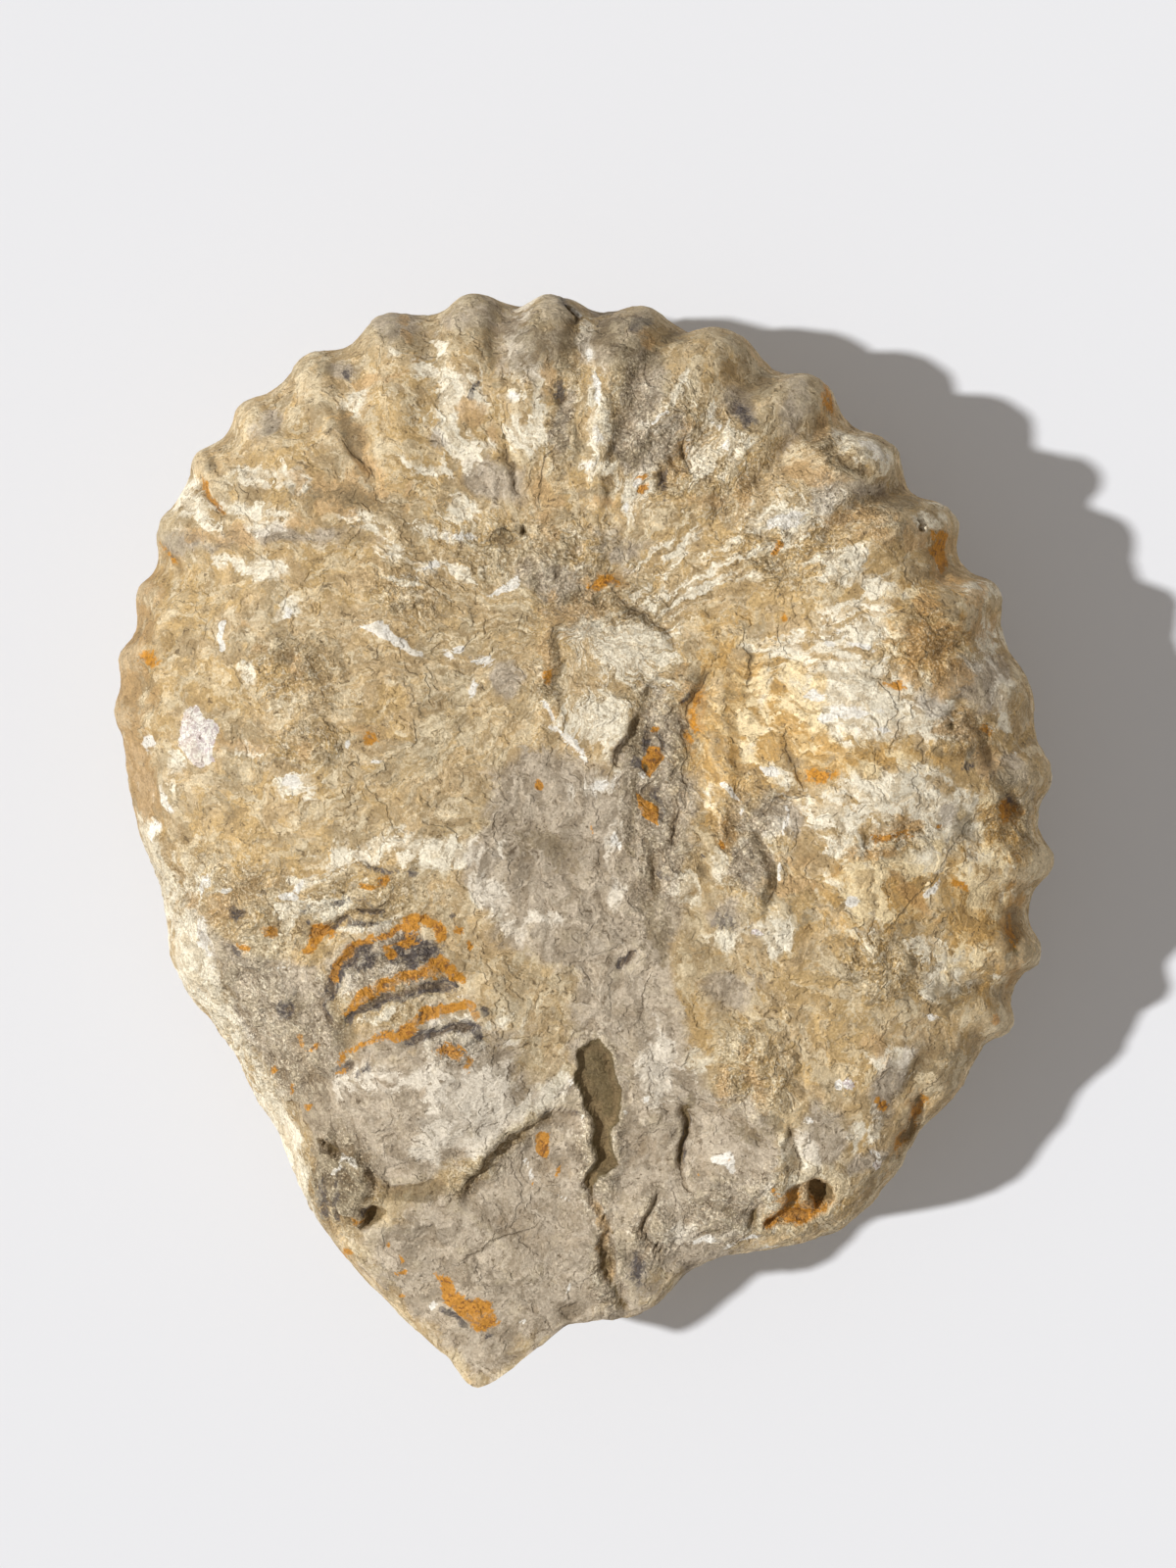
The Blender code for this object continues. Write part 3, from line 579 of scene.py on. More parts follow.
# Marks by name. A patch is (x, y, half width, half height, soft), with its turn in degrees before
# soft where it is turned. The others are ("line", points, half width, soft) and
# ("shape", outline, soft). Soft is the width in pixels over which a mark fades.
MARKS = {
    "crumbly": [
        (356, 924, 70, 24, -10, 14), (330, 1045, 22, 60, 10, 12), (396, 1000, 50, 46, -20, 14),
        (462, 1062, 30, 20, 12), (672, 800, 34, 130, 20), (765, 860, 36, 60, 16),
        (690, 450, 60, 60, 30, 24), (640, 420, 26, 70, 8, 16), (750, 480, 40, 50, 20),
        (575, 420, 16, 60, 8, 10), (620, 615, 62, 22, 5, 12), (560, 700, 12, 45, 8),
        (560, 565, 60, 36, 16), (410, 610, 40, 26, 30, 12), (945, 660, 46, 38, 14),
        (985, 748, 30, 22, 20, 10), (1030, 840, 26, 40, 12), (900, 858, 46, 16, -10, 10),
        (865, 520, 60, 24, 20, 14), (850, 460, 30, 16, 20, 8), (770, 1095, 40, 46, -15, 14),
        (780, 1235, 90, 36, -8, 14), (665, 1262, 22, 34, 8), (612, 1150, 24, 96, 8),
        (620, 1300, 16, 44, 8), (345, 1205, 40, 52, -10, 10), (235, 925, 90, 50, 30, 24),
        (260, 1050, 60, 90, -30, 24), (300, 690, 46, 40, 16), (310, 760, 40, 22, 10),
        (500, 1185, 60, 16, -40, 8), (800, 560, 60, 40, 20), (500, 560, 50, 30, 20, 16),
        (900, 985, 40, 30, 14),
    ],
    "ochre": [
        (895, 778, 60, 12, -3, 6), (800, 724, 34, 40, 12), (990, 930, 50, 60, 20),
        (416, 446, 46, 56, -8, 12), (440, 486, 40, 10, 6), (400, 388, 40, 14, -14, 8),
        (385, 402, 16, 10, 5), (498, 430, 20, 24, 8), (470, 526, 36, 12, -10, 8), (502, 540, 16, 16, 5),
        (552, 490, 7, 34, 8, 4), (545, 424, 14, 10, 6), (290, 470, 44, 34, -30, 20),
        (274, 508, 24, 20, 10), (180, 605, 50, 40, 20), (150, 672, 18, 22, 9), (156, 738, 22, 20, 10),
        (210, 700, 60, 30, 20), (330, 570, 46, 34, 10, 22), (388, 722, 17, 36, 28, 7),
        (362, 750, 34, 8, -4, 5), (272, 690, 20, 22, 9), (300, 768, 34, 14, 8, 9),
        (250, 640, 14, 5, -10, 4), (240, 860, 56, 30, 20, 22), (215, 922, 30, 18, 20, 10),
        (312, 796, 36, 26, 20), (370, 892, 30, 14, -10, 7), (330, 962, 22, 14, -30, 6),
        (655, 338, 14, 13, 6), (638, 350, 9, 24, 8, 5), (722, 370, 24, 14, -20, 8), (596, 384, 12, 8, 5),
        (690, 474, 12, 32, 16, 6), (752, 474, 10, 26, 18, 4), (728, 506, 46, 18, -22, 12),
        (780, 458, 30, 12, -20, 8), (705, 540, 50, 24, -20, 18), (612, 545, 24, 44, 16),
        (600, 492, 16, 10, 6), (820, 560, 40, 26, -10, 14), (866, 600, 60, 20, 5, 20),
        (790, 600, 30, 30, 16), (840, 430, 14, 20, 8), (730, 640, 20, 34, 12),
        (740, 560, 40, 20, -20, 14), (782, 672, 24, 28, 10), (782, 726, 18, 14, -30, 6),
        (776, 762, 24, 32, 12), (732, 760, 20, 44, 12), (826, 734, 18, 26, -10, 8),
        (838, 772, 22, 26, 8), (846, 792, 30, 12, 6), (866, 784, 36, 9, -2, 5),
        (936, 774, 30, 12, -4, 8), (734, 826, 14, 28, 6), (812, 652, 24, 12, 10),
        (908, 848, 30, 11, -4, 6), (940, 882, 16, 16, 7), (926, 928, 26, 24, -40, 8),
        (900, 985, 42, 32, 14), (884, 1030, 34, 26, 16), (1020, 850, 20, 34, 8),
        (972, 918, 22, 16, -45, 8), (1014, 756, 22, 22, 8), (1036, 958, 9, 24, 4),
        (830, 910, 50, 22, 14), (812, 1010, 50, 24, 20), (866, 1082, 40, 28, 12),
        (772, 1092, 20, 34, -18, 9), (882, 1166, 13, 22, 6), (738, 1244, 22, 10, 8, 5),
        (790, 1192, 18, 12, 8), (826, 1244, 36, 10, -12, 4), (862, 1222, 9, 16, 30, 4),
        (700, 1060, 24, 40, 14), (446, 1138, 18, 8, 6), (904, 1128, 9, 9, 4), (780, 925, 20, 20, 10),
        (300, 1050, 16, 30, 8), (560, 640, 16, 50, 10), (930, 880, 90, 130, 50), (1010, 800, 50, 90, 30),
        (800, 750, 36, 60, 16), (900, 560, 80, 50, 20, 30),
    ],
    "yellow": [
        (745, 745, 44, 90, 16), (895, 776, 70, 13, -3, 8), (806, 720, 34, 44, 14),
        (832, 764, 22, 36, 10), (945, 645, 44, 50, 16), (905, 905, 60, 40, -30, 16),
        (1000, 930, 40, 70, 20), (1020, 850, 22, 40, 10),
    ],
    # Painted shade along the left rim and right of the seam; darker soil on the nodule and between the top
    # ribs
    "soil_and_shade": [
        ("line", [(150, 560), (128, 640), (124, 720), (134, 800), (166, 880)], 30, 16),
        (345, 1202, 38, 50, 12), (312, 1120, 30, 60, -20, 12), (340, 1200, 24, 36, 8),
        ("line", [(716, 860), (712, 960), (720, 1070)], 24, 14), (640, 332, 56, 34, 12),
        (550, 345, 50, 30, 12),
    ],
    "grey": [
        (392, 985, 44, 34, -20, 16), (420, 1060, 50, 22, -20, 14),
        ("shape", [(474, 880), (488, 830), (500, 790), (540, 768), (590, 786), (622, 786), (660, 700),
                   (700, 736), (706, 850), (690, 960), (700, 1090), (790, 1140), (800, 1220), (770, 1270),
                   (660, 1330), (484, 1413), (380, 1300), (360, 1250), (460, 1220), (540, 1150),
                   (590, 1100), (580, 1000), (520, 960)], 14),
        ("shape", [(208, 952), (240, 972), (290, 985), (330, 1000), (350, 1060), (350, 1160), (376, 1210),
                   (370, 1250), (330, 1236), (318, 1165), (250, 1062)], 9),
        (545, 345, 44, 34, 14), (628, 342, 40, 30, 12), (440, 1130, 116, 70, -20, 16),
        (515, 694, 17, 17, 5), (655, 400, 20, 50, 12, 10), (575, 428, 10, 44, 8, 5),
        (645, 455, 26, 24, 8), (690, 445, 20, 30, 30, 8), (760, 415, 14, 22, -30, 6),
        (812, 405, 14, 40, 8, 8), (630, 560, 34, 16, 14), (570, 590, 40, 24, 14), (880, 496, 20, 10, 6),
        (850, 500, 20, 20, 8), (1000, 700, 26, 30, 12), (955, 716, 20, 10, 10, 6),
        (272, 430, 14, 12, -30, 6), (400, 332, 30, 14, -8, 8), (352, 376, 16, 8, 20, 5),
        (480, 318, 30, 16, 10), (570, 312, 20, 14, 6), (655, 322, 12, 14, 4), (452, 452, 14, 12, 6),
        (500, 490, 30, 26, 30, 10), (185, 550, 24, 12, 10, 6), (300, 545, 60, 8, 6),
        (780, 835, 34, 26, 9), (770, 880, 24, 30, 9), (740, 935, 24, 16, 8), (1030, 790, 24, 16, 30, 8),
        (968, 830, 14, 12, 5), (840, 1160, 26, 30, 10), (905, 1110, 14, 30, 20, 8),
        (925, 1095, 10, 26, 20, 8), (880, 1192, 20, 8, -20, 5), (550, 945, 50, 30, 40, 14),
        (650, 935, 40, 30, 14), (740, 1010, 24, 20, 12),
    ],
    "pale": [
        (485, 1130, 60, 44, -30, 8), (470, 1150, 50, 24, -20, 8), (470, 1060, 40, 16, -10, 9),
        (550, 1120, 26, 14, -20, 8), (920, 812, 70, 30, 12), (930, 868, 60, 22, -8, 10),
        (900, 640, 40, 20, 10, 9), (955, 700, 34, 18, 9), (955, 738, 36, 15, 8), (930, 820, 80, 20, 8),
        (960, 835, 50, 22, 10, 8), (865, 720, 60, 44, 10), (905, 890, 50, 14, -6, 7),
        (858, 720, 48, 46, -20, 12), (858, 664, 50, 14, 18, 8), (890, 690, 20, 26, 20, 8),
        (880, 745, 46, 12, 8), (780, 710, 8, 30, 4), (766, 740, 6, 40, 4), (792, 790, 14, 8, 10, 4),
        (812, 670, 20, 20, 10), (880, 808, 90, 10, -6, 7), (850, 834, 50, 12, -8, 8),
        (960, 800, 40, 10, 10, 8), (965, 850, 26, 22, 20, 8), (985, 815, 26, 8, 30, 6),
        (1010, 890, 26, 16, 30, 8), (1000, 905, 20, 24, -30, 8), (885, 920, 24, 26, 8),
        (890, 900, 40, 10, 8), (960, 975, 26, 12, 40, 7), (990, 985, 30, 22, 9),
        (850, 865, 20, 10, 20, 6), (910, 640, 24, 12, -20, 6), (880, 650, 24, 8, 20, 5),
        (800, 530, 40, 20, 12), (846, 516, 16, 20, 7), (880, 590, 30, 8, 10, 6), (860, 568, 26, 8, 6),
        (888, 462, 22, 12, 25, 4), (856, 446, 16, 6, 20, 4), (940, 612, 16, 8, 20, 5),
        (1006, 598, 14, 8, 20, 4), (955, 526, 12, 10, 5), (930, 700, 30, 12, 8),
        (722, 430, 8, 16, 30, 4), (742, 440, 12, 20, 10, 6), (750, 446, 14, 10, 5),
        (720, 468, 16, 20, 8), (658, 430, 10, 8, 4), (686, 412, 10, 26, 20, 6),
        (650, 496, 16, 20, 10, 5), (604, 392, 8, 20, 8, 4), (612, 430, 12, 26, 3, 6),
        (606, 476, 14, 9, 5), (596, 340, 8, 14, 4), (598, 355, 8, 8, 4), (640, 510, 8, 14, 4),
        (538, 440, 22, 16, 7), (546, 385, 8, 20, 5), (530, 350, 14, 40, 3, 10), (520, 405, 12, 8, 4),
        (466, 400, 24, 30, 10), (466, 450, 12, 34, -20, 6), (500, 452, 14, 6, -10, 4),
        (440, 480, 20, 6, 8, 4), (400, 356, 14, 6, 4), (445, 345, 8, 8, 4), (436, 375, 12, 10, 5),
        (360, 408, 14, 10, -30, 5), (470, 515, 16, 10, 5), (444, 540, 26, 8, 16, 4),
        (380, 535, 26, 10, 20, 6), (400, 560, 20, 8, 30, 5), (440, 580, 12, 8, 5), (410, 590, 16, 6, 4),
        (470, 585, 14, 10, 5), (264, 486, 26, 14, 8), (240, 520, 34, 10, 8, 6),
        (200, 520, 24, 14, 30, 8), (300, 490, 10, 16, 5), (270, 540, 26, 6, 4, 4), (216, 570, 16, 8, 4),
        (260, 580, 24, 10, 7), (184, 490, 10, 8, 4), (290, 625, 12, 7, -20, 4), (256, 765, 16, 10, 5),
        (300, 800, 20, 12, 6), (250, 690, 9, 12, 5), (178, 780, 8, 16, -5, 6), (440, 868, 60, 15, 6, 8),
        (360, 878, 40, 10, -10, 7), (400, 860, 40, 8, -4, 6), (500, 915, 12, 26, -25, 6),
        (516, 945, 26, 9, 50, 6), (310, 900, 20, 8, -10, 5), (230, 905, 14, 5, -30, 3),
        (300, 930, 20, 10, -20, 6), (330, 930, 20, 8, -10, 5), (190, 925, 12, 30, -4, 7),
        (375, 945, 24, 6, -14, 3), (360, 1000, 16, 8, -40, 4), (400, 990, 20, 5, -20, 3),
        (380, 1040, 30, 5, -20, 3), (420, 1100, 50, 12, -10, 10), (610, 735, 34, 28, 8),
        (575, 738, 10, 10, 40, 4), (640, 665, 40, 30, 14), (600, 640, 30, 14, 8),
        (700, 600, 46, 16, -24, 12), (690, 560, 36, 10, -30, 8), (610, 800, 20, 8, -20, 5),
        (632, 852, 8, 14, 5), (632, 920, 10, 18, 6), (560, 940, 24, 6, 5), (700, 905, 12, 12, 9),
        (800, 960, 40, 12, 14, 8), (740, 960, 16, 10, 6), (735, 880, 10, 16, 5), (720, 812, 6, 10, 3),
        (665, 1090, 16, 30, -12, 9), (712, 1086, 10, 16, 6), (915, 1085, 20, 18, 7),
        (895, 1150, 8, 22, 5, 4), (820, 1190, 14, 30, 8), (700, 1262, 26, 7, 4),
        (745, 1262, 26, 7, -10, 4), (790, 1235, 7, 22, 4), (872, 1160, 10, 16, 4), (800, 1240, 4, 10, 3),
        (960, 1010, 20, 16, 8), (1020, 930, 14, 10, -40, 5), (1022, 720, 14, 20, 7),
        (1010, 660, 14, 20, 7),
        ("shape", [(128, 762), (150, 800), (165, 860), (182, 922), (196, 940), (218, 975), (240, 1030),
                   (262, 1082), (290, 1128), (308, 1168), (314, 1210), (326, 1246), (314, 1244),
                   (250, 1098), (180, 1005), (165, 945), (138, 858)], 5),
    ],
    "brown": [
        ("shape", PITS[2][0], 3), ("line", [(607, 1232), (620, 1256), (611, 1280), (624, 1310)], 5, 3),
        (940, 650, 30, 20, 10), (925, 690, 16, 10, 6),
        ("line", [(136, 600), (128, 680), (128, 760), (146, 820)], 16, 12), (975, 690, 20, 20, 8),
        (985, 742, 22, 14, 20, 6), (1008, 776, 22, 13, 30, 6), (1032, 828, 12, 12, 5),
        (1038, 950, 8, 40, 5), (934, 545, 20, 12, -10, 7), (886, 522, 30, 10, -8, 6),
        (905, 545, 40, 8, 6), (835, 438, 12, 18, 15, 5), (848, 404, 5, 22, 3), (964, 556, 9, 20, 10, 4),
        (970, 588, 20, 6, 25, 4), (930, 1150, 7, 30, 22, 4), (906, 846, 24, 6, -8, 4),
        (935, 920, 7, 34, -40, 4), (366, 450, 9, 34, -30, 6), (345, 500, 40, 16, 8, 10),
        (372, 470, 9, 12, -30, 4), (380, 506, 30, 12, 10, 8), (620, 594, 17, 7, 4),
        (714, 722, 8, 30, 8, 4), (704, 756, 5, 12, 3), (740, 860, 7, 12, 20, 4), (734, 846, 5, 8, 3),
        (690, 468, 8, 24, 14, 5), (700, 460, 4, 20, 4, 3), (560, 375, 9, 16, 6), (548, 500, 6, 26, 8, 4),
        (660, 345, 8, 8, 4), (250, 638, 12, 4, -10, 3), (300, 672, 7, 14, 4), (268, 665, 8, 8, 4),
        (376, 748, 12, 7, 4), (312, 765, 9, 12, 5), (305, 530, 20, 6, 5), (240, 545, 20, 6, 30, 4),
        (210, 545, 24, 6, 8, 4), (560, 530, 12, 18, 7), (700, 695, 8, 12, 5), (590, 620, 30, 14, -20, 10),
        (560, 680, 9, 30, 6), (770, 1100, 7, 26, -18, 5), (740, 1110, 6, 16, 4), (800, 905, 26, 10, 6),
        (824, 880, 20, 8, 6), (895, 870, 24, 6, 5), (480, 420, 12, 10, 5), (504, 440, 8, 10, 4),
        (390, 385, 26, 5, -14, 4), (412, 330, 5, 16, -10, 3), (1000, 610, 8, 16, 5),
        (950, 620, 12, 12, 5), (1000, 640, 16, 12, 7), (228, 925, 16, 12, 5), (206, 930, 20, 6, 30, 5),
        (255, 905, 14, 6, 4), (840, 480, 20, 8, 6), (815, 478, 16, 6, -10, 5), (730, 508, 26, 6, -10, 5),
        (760, 500, 8, 20, 10, 5), (612, 510, 10, 6, 4), (606, 590, 20, 5, 5, 4), (790, 1252, 9, 8, 3),
        (806, 1236, 12, 12, 20, 4), (896, 1070, 10, 16, 6), (240, 760, 26, 7, 10, 5),
    ],
    # Olive-grey stone, and painted shade on steep facets by the seam, below the mound and above the cavity
    "olive_and_shade": [
        (546, 346, 14, 30, 6, 9), (620, 336, 16, 18, 8), (634, 362, 12, 20, 8, 7), (345, 1206, 24, 34, 9),
        (1038, 955, 8, 24, 5), (582, 342, 11, 16, 15, 4), (576, 366, 6, 16, 4),
        (666, 366, 15, 13, -30, 5), (643, 388, 5, 24, 8, 3), (688, 344, 16, 7, -14, 4),
        (768, 398, 20, 8, -14, 5), (780, 390, 12, 10, 5), (838, 452, 12, 8, 20, 4),
        (862, 470, 20, 5, 28, 3), (852, 462, 9, 5, 40, 3), (912, 512, 24, 8, 5), (503, 316, 8, 8, 4),
        (495, 350, 6, 26, -12, 4), (356, 440, 7, 30, -22, 4), (330, 372, 12, 9, 30, 5),
        (352, 505, 34, 9, 6, 8), (210, 470, 5, 10, 3), (566, 400, 5, 12, 3), (574, 446, 5, 18, 8, 4),
        (590, 450, 4, 24, 8, 3), (642, 468, 12, 8, -10, 4), (662, 452, 12, 4, -40, 3),
        (628, 440, 3, 16, 3), (674, 490, 4, 14, 8, 2.5), (610, 500, 9, 6, 4), (713, 690, 14, 6, -10, 4),
        (706, 712, 5, 14, 10, 3), (654, 756, 11, 22, 12, 3), (650, 752, 7, 30, 12, 4),
        (688, 770, 6, 40, 5), (646, 812, 5, 30, 4), (664, 818, 5, 10, 3),
        ("line", oval(649, 862, 9, 12), 1.6, 1.5), ("line", oval(672, 857, 6, 9), 1.6, 1.5),
        (662, 880, 5, 24, -8, 4), (672, 905, 5, 14, 3), (666, 940, 6, 26, -6, 4), (676, 960, 6, 26, 5),
        (712, 888, 6, 7, 2), (700, 870, 3, 14, 3), (776, 868, 8, 14, -24, 4), (790, 894, 5, 14, -10, 2.5),
        (784, 918, 5, 16, -5, 3), (746, 846, 4, 10, 3), (560, 862, 18, 10, 30, 5),
        (556, 866, 30, 14, 30, 12), (984, 772, 10, 6, 4), (1026, 800, 12, 20, 6),
        (960, 766, 5, 9, -40, 2), (955, 1010, 8, 10, 5), (970, 1020, 14, 14, 9), (985, 842, 7, 16, 5),
        (812, 1180, 5, 28, -2, 2.5), (806, 1172, 3, 20, 3), (320, 1200, 4, 20, 4), (356, 1214, 14, 22, 7),
        (330, 1169, 12, 4, 26, 2), (428, 1220, 32, 12, 3), (482, 1198, 22, 6, -50, 3),
        (498, 1184, 10, 3, -42, 2), (612, 1178, 9, 14, 4), (616, 1290, 7, 18, -10, 3),
        (606, 1206, 6, 8, 4), (630, 1328, 3, 14, -15, 3), (300, 505, 8, 5, 30, 4), (530, 538, 6, 8, 2),
        (512, 546, 12, 7, -14, 3), (548, 590, 6, 14, 4), (408, 618, 12, 6, -20, 4),
        (580, 612, 12, 6, -30, 4), (652, 622, 26, 5, 25, 4), (566, 655, 5, 24, 4), (590, 606, 5, 8, 4),
        (766, 668, 3, 14, -5, 2), (790, 1150, 14, 7, 40, 5), (770, 1160, 20, 8, 30, 8),
        (700, 1126, 5, 8, 3), (772, 1252, 6, 12, 10, 3), (745, 1238, 10, 4, 30, 3),
        (730, 1256, 10, 3, -20, 3), (950, 1085, 8, 20, 30, 5), (345, 1050, 14, 22, -20, 8),
        (300, 1026, 8, 12, 20, 5), (228, 1002, 5, 20, -15, 5),
    ],
    "purple": [
        ("line", [(330, 956), (345, 945), (358, 938)], 3, 2), ("line", [(368, 934), (388, 928)], 2, 2),
        (372, 942, 18, 3, -16, 3), (424, 970, 28, 14, 10, 4), (418, 984, 8, 9, 4),
        (372, 982, 12, 7, -40, 4), (398, 976, 6, 12, -30, 4),
        ("line", [(337, 1014), (342, 1000), (354, 986), (374, 968)], 6.5, 3), (336, 1010, 6, 7, 3),
        ("line", [(356, 1040), (376, 1027), (398, 1018), (426, 1014)], 5.5, 3),
        ("line", [(428, 1010), (446, 1008), (462, 1001)], 6.5, 3),
        ("line", [(462, 994), (478, 1000)], 2, 2),
        ("line", [(420, 1060), (436, 1052), (450, 1046), (464, 1047), (478, 1044), (488, 1052)], 5.5, 3),
        (497, 1029, 6, 6, 2), (384, 1008, 16, 3, -24, 3), (458, 932, 4, 3, 2), (473, 952, 4, 4, 2),
        (388, 886, 18, 3, 8, 3), (422, 889, 4, 5, 2), (348, 921, 8, 4, -20, 3), (368, 922, 14, 2, 20, 3),
        (310, 933, 6, 3, -20, 3), (316, 947, 5, 4, 3), (352, 1088, 9, 7, -10, 4),
        (372, 1096, 14, 3, -30, 3), (290, 1028, 8, 10, 30, 3), (294, 1018, 8, 4, -40, 3),
        (332, 1030, 6, 16, -20, 5), (242, 972, 12, 3, 22, 2), (238, 930, 8, 7, 20, 4),
        ("line", [(451, 1339), (462, 1345), (471, 1355)], 4, 1.5),
        ("shape", [(630, 986), (634, 976), (641, 970), (646, 973), (641, 983), (634, 990)], 1.5),
        ("line", [(642, 974), (650, 969), (664, 965)], 1.0, 1.2), (328, 1220, 5, 18, 4),
        (344, 1226, 4, 22, 4), (378, 1240, 12, 8, -20, 2), (344, 1247, 4, 4, 2),
        ("line", [(489, 388), (485, 397), (480, 405)], 2.4, 2), (568, 398, 5, 8, 3), (573, 308, 6, 6, 4),
        ("line", [(676, 832), (674, 838)], 2, 1.5),
        ("line", [(670, 804), (666, 812), (672, 824), (674, 836)], 2, 2),
        ("line", [(650, 822), (652, 832), (659, 836)], 2, 1.5), (654, 780, 8, 7, 20, 3),
        (658, 786, 3, 6, 2), (700, 1160, 4, 28, 1.5),
        ("line", [(691, 822), (692, 838), (688, 856)], 1.6, 1.5), (676, 892, 8, 3, 20, 2),
        (651, 1300, 6, 14, 5, 3), (355, 382, 8, 5, 40, 3), (655, 326, 9, 8, 3), (758, 418, 8, 16, -20, 5),
        (797, 609, 3, 3, 1.5), (700, 712, 4, 8, 20, 2), (676, 488, 3, 14, 5, 2), (740, 940, 12, 8, 6),
        (772, 953, 7, 4, 2), (662, 756, 3, 12, 2), (674, 758, 2, 10, -10, 2), (868, 1110, 4, 4, 2),
        (1036, 822, 5, 7, 20, 3), (990, 782, 6, 2, 2), (712, 870, 3, 3, 1.5), (586, 1136, 14, 4, -10, 3),
        (556, 1138, 10, 3, -20, 3), (495, 1365, 5, 4, 2), (330, 1240, 5, 6, 3),
    ],
    "rust": [
        ("line", [(312, 972), (318, 960), (326, 952), (336, 956)], 4.5, 2.5),
        ("line", [(342, 998), (346, 985), (354, 975), (368, 963), (384, 956), (404, 950),
                  (426, 951)], 4.5, 3),
        ("line", [(416, 944), (430, 940), (446, 945), (449, 956)], 6, 3), (470, 952, 7, 6, 20, 3),
        (479, 968, 4, 4, 2),
        ("line", [(356, 1030), (366, 1020), (386, 1008), (406, 1001), (426, 995), (441, 986), (451, 984),
                  (460, 990), (474, 999)], 5, 3),
        (443, 992, 17, 7, -12, 3), ("line", [(346, 1078), (362, 1069), (380, 1059), (394, 1058)], 2.5, 3),
        (397, 1056, 8, 6, -30, 3),
        ("line", [(404, 1058), (418, 1046), (432, 1036), (450, 1030), (468, 1022), (482, 1023),
                  (486, 1034)], 5, 2.5),
        (416, 1050, 11, 8, -30, 3), ("line", [(344, 1096), (352, 1090)], 2, 2), (462, 1070, 16, 7, 6, 4),
        (482, 1082, 3, 9, 10, 3), (388, 898, 9, 6, -20, 4), (372, 904, 6, 4, 3), (398, 972, 5, 8, -30, 3),
        (412, 962, 12, 3, -10, 3), (378, 962, 8, 3, -30, 2), (345, 985, 4, 8, 20, 2),
        ("shape", [(446, 1302), (457, 1303), (466, 1320), (486, 1323), (502, 1334), (507, 1350),
                   (498, 1358), (484, 1358), (470, 1346), (452, 1328)], 3),
        ("shape", [(547, 1160), (561, 1158), (561, 1170), (558, 1186), (550, 1186), (546, 1174)], 1.5),
        (569, 1195, 2.5, 6, 1.5), (542, 1210, 2, 4, -20, 1.5),
        ("shape", [(301, 1055), (307, 1054), (311, 1063), (312, 1071), (304, 1066)], 1.5),
        ("line", [(312, 1071), (322, 1070)], 1.5, 1.5), (278, 1092, 4, 5, 20, 1.5),
        ("line", [(295, 1118), (298, 1110)], 2.5, 1.5), (316, 1130, 3, 3, 20, 1.5),
        (394, 1277, 3, 5, 1.5), (408, 1290, 3, 6, -20, 2), (407, 1303, 5, 2, 1.5), (410, 1322, 3, 4, 2),
        ("shape", [(648, 809), (655, 817), (668, 826), (675, 840), (662, 837), (648, 834)], 1.2),
        ("shape", [(663, 761), (673, 762), (676, 772), (670, 784), (664, 796), (655, 784)], 1.2),
        (668, 744, 3, 4, 1.5), (712, 716, 3, 14, 14, 3), (712, 736, 4, 10, -10, 2.5),
        (704, 752, 3.5, 8, 2.5), (549, 801, 5, 6, 2), (353, 1278, 5, 4, 30, 2), (364, 1246, 8, 3, 2),
        (818, 1240, 28, 9, -14, 4), (806, 1224, 12, 6, -10, 4), (790, 1252, 7, 6, 2.5),
        ("line", [(964, 544), (960, 562), (966, 576)], 5.5, 3), (170, 566, 2.5, 9, -35, 2),
        ("line", [(203, 486), (210, 504), (222, 520)], 2.5, 2), (618, 594, 14, 6, 3),
        (980, 906, 8, 5, 30, 3), (846, 404, 3.5, 18, 3, 2.5), (654, 484, 6, 4, 2), (658, 497, 6, 6, 2.5),
        (790, 562, 4, 7, 10, 2), (795, 556, 5, 3, 2), (804, 625, 4, 3, 2), (938, 1142, 5, 20, 25, 3),
        (926, 1166, 4, 14, 25, 3), (946, 1122, 4, 10, 10, 3), (714, 1202, 2.5, 3, 1.5),
        (742, 1186, 2.5, 3, 1.5), (148, 672, 9, 8, 5), (960, 845, 5, 2.5, -20, 1.5), (738, 860, 4, 5, 2),
        (916, 700, 8, 4, 3), (838, 792, 16, 7, 5), (1037, 950, 4, 14, 3), (1016, 1040, 7, 5, 3),
        (903, 852, 20, 4, -6, 3), (792, 1216, 4, 4, 2), (902, 1130, 6, 6, 3), (560, 690, 4, 8, 4),
        (380, 752, 6, 4, 3), (604, 844, 2, 5, 2), (250, 967, 8, 2.5, 10, 2), (272, 950, 8, 5, 20, 4),
        (1030, 828, 9, 8, 4), (1012, 746, 6, 6, 4),
    ],
    # Brown infill of holes and slits, darkened as painted shade of a depth the shallow pits leave out
    "hole_and_shade": [
        ("shape", PITS[0][0], 1.5), (843, 1220, 12, 13, 10, 3),
        ("line", [(610, 1284), (618, 1304), (630, 1322), (635, 1338)], 2.5, 2.5),
        ("line", [(604, 1222), (618, 1248), (630, 1262)], 1.2, 1.5),
        ("line", [(698, 1132), (701, 1160), (696, 1188)], 2.5, 2),
        ("shape", [(380, 1230), (394, 1235), (390, 1246), (374, 1252), (364, 1250)], 3),
        (338, 1174, 4, 3, 40, 2), (931, 1156, 4, 14, 22, 3), (943, 1122, 3, 8, 15, 2),
        (766, 362, 2.5, 7, -20, 2), (773, 1246, 2.5, 7, 10, 1.5),
        ("line", [(943, 528), (948, 533), (949, 539)], 1.5, 1.2), (1016, 776, 2, 3, 20, 1.5),
        (972, 738, 4, 3, 2.5), ("line", [(576, 306), (581, 317), (587, 328)], 1.8, 1.5),
        (534, 538, 3.5, 3.5, 1.5), (672, 1280, 2, 6, -30, 1.5), (1038, 972, 4, 4, 2),
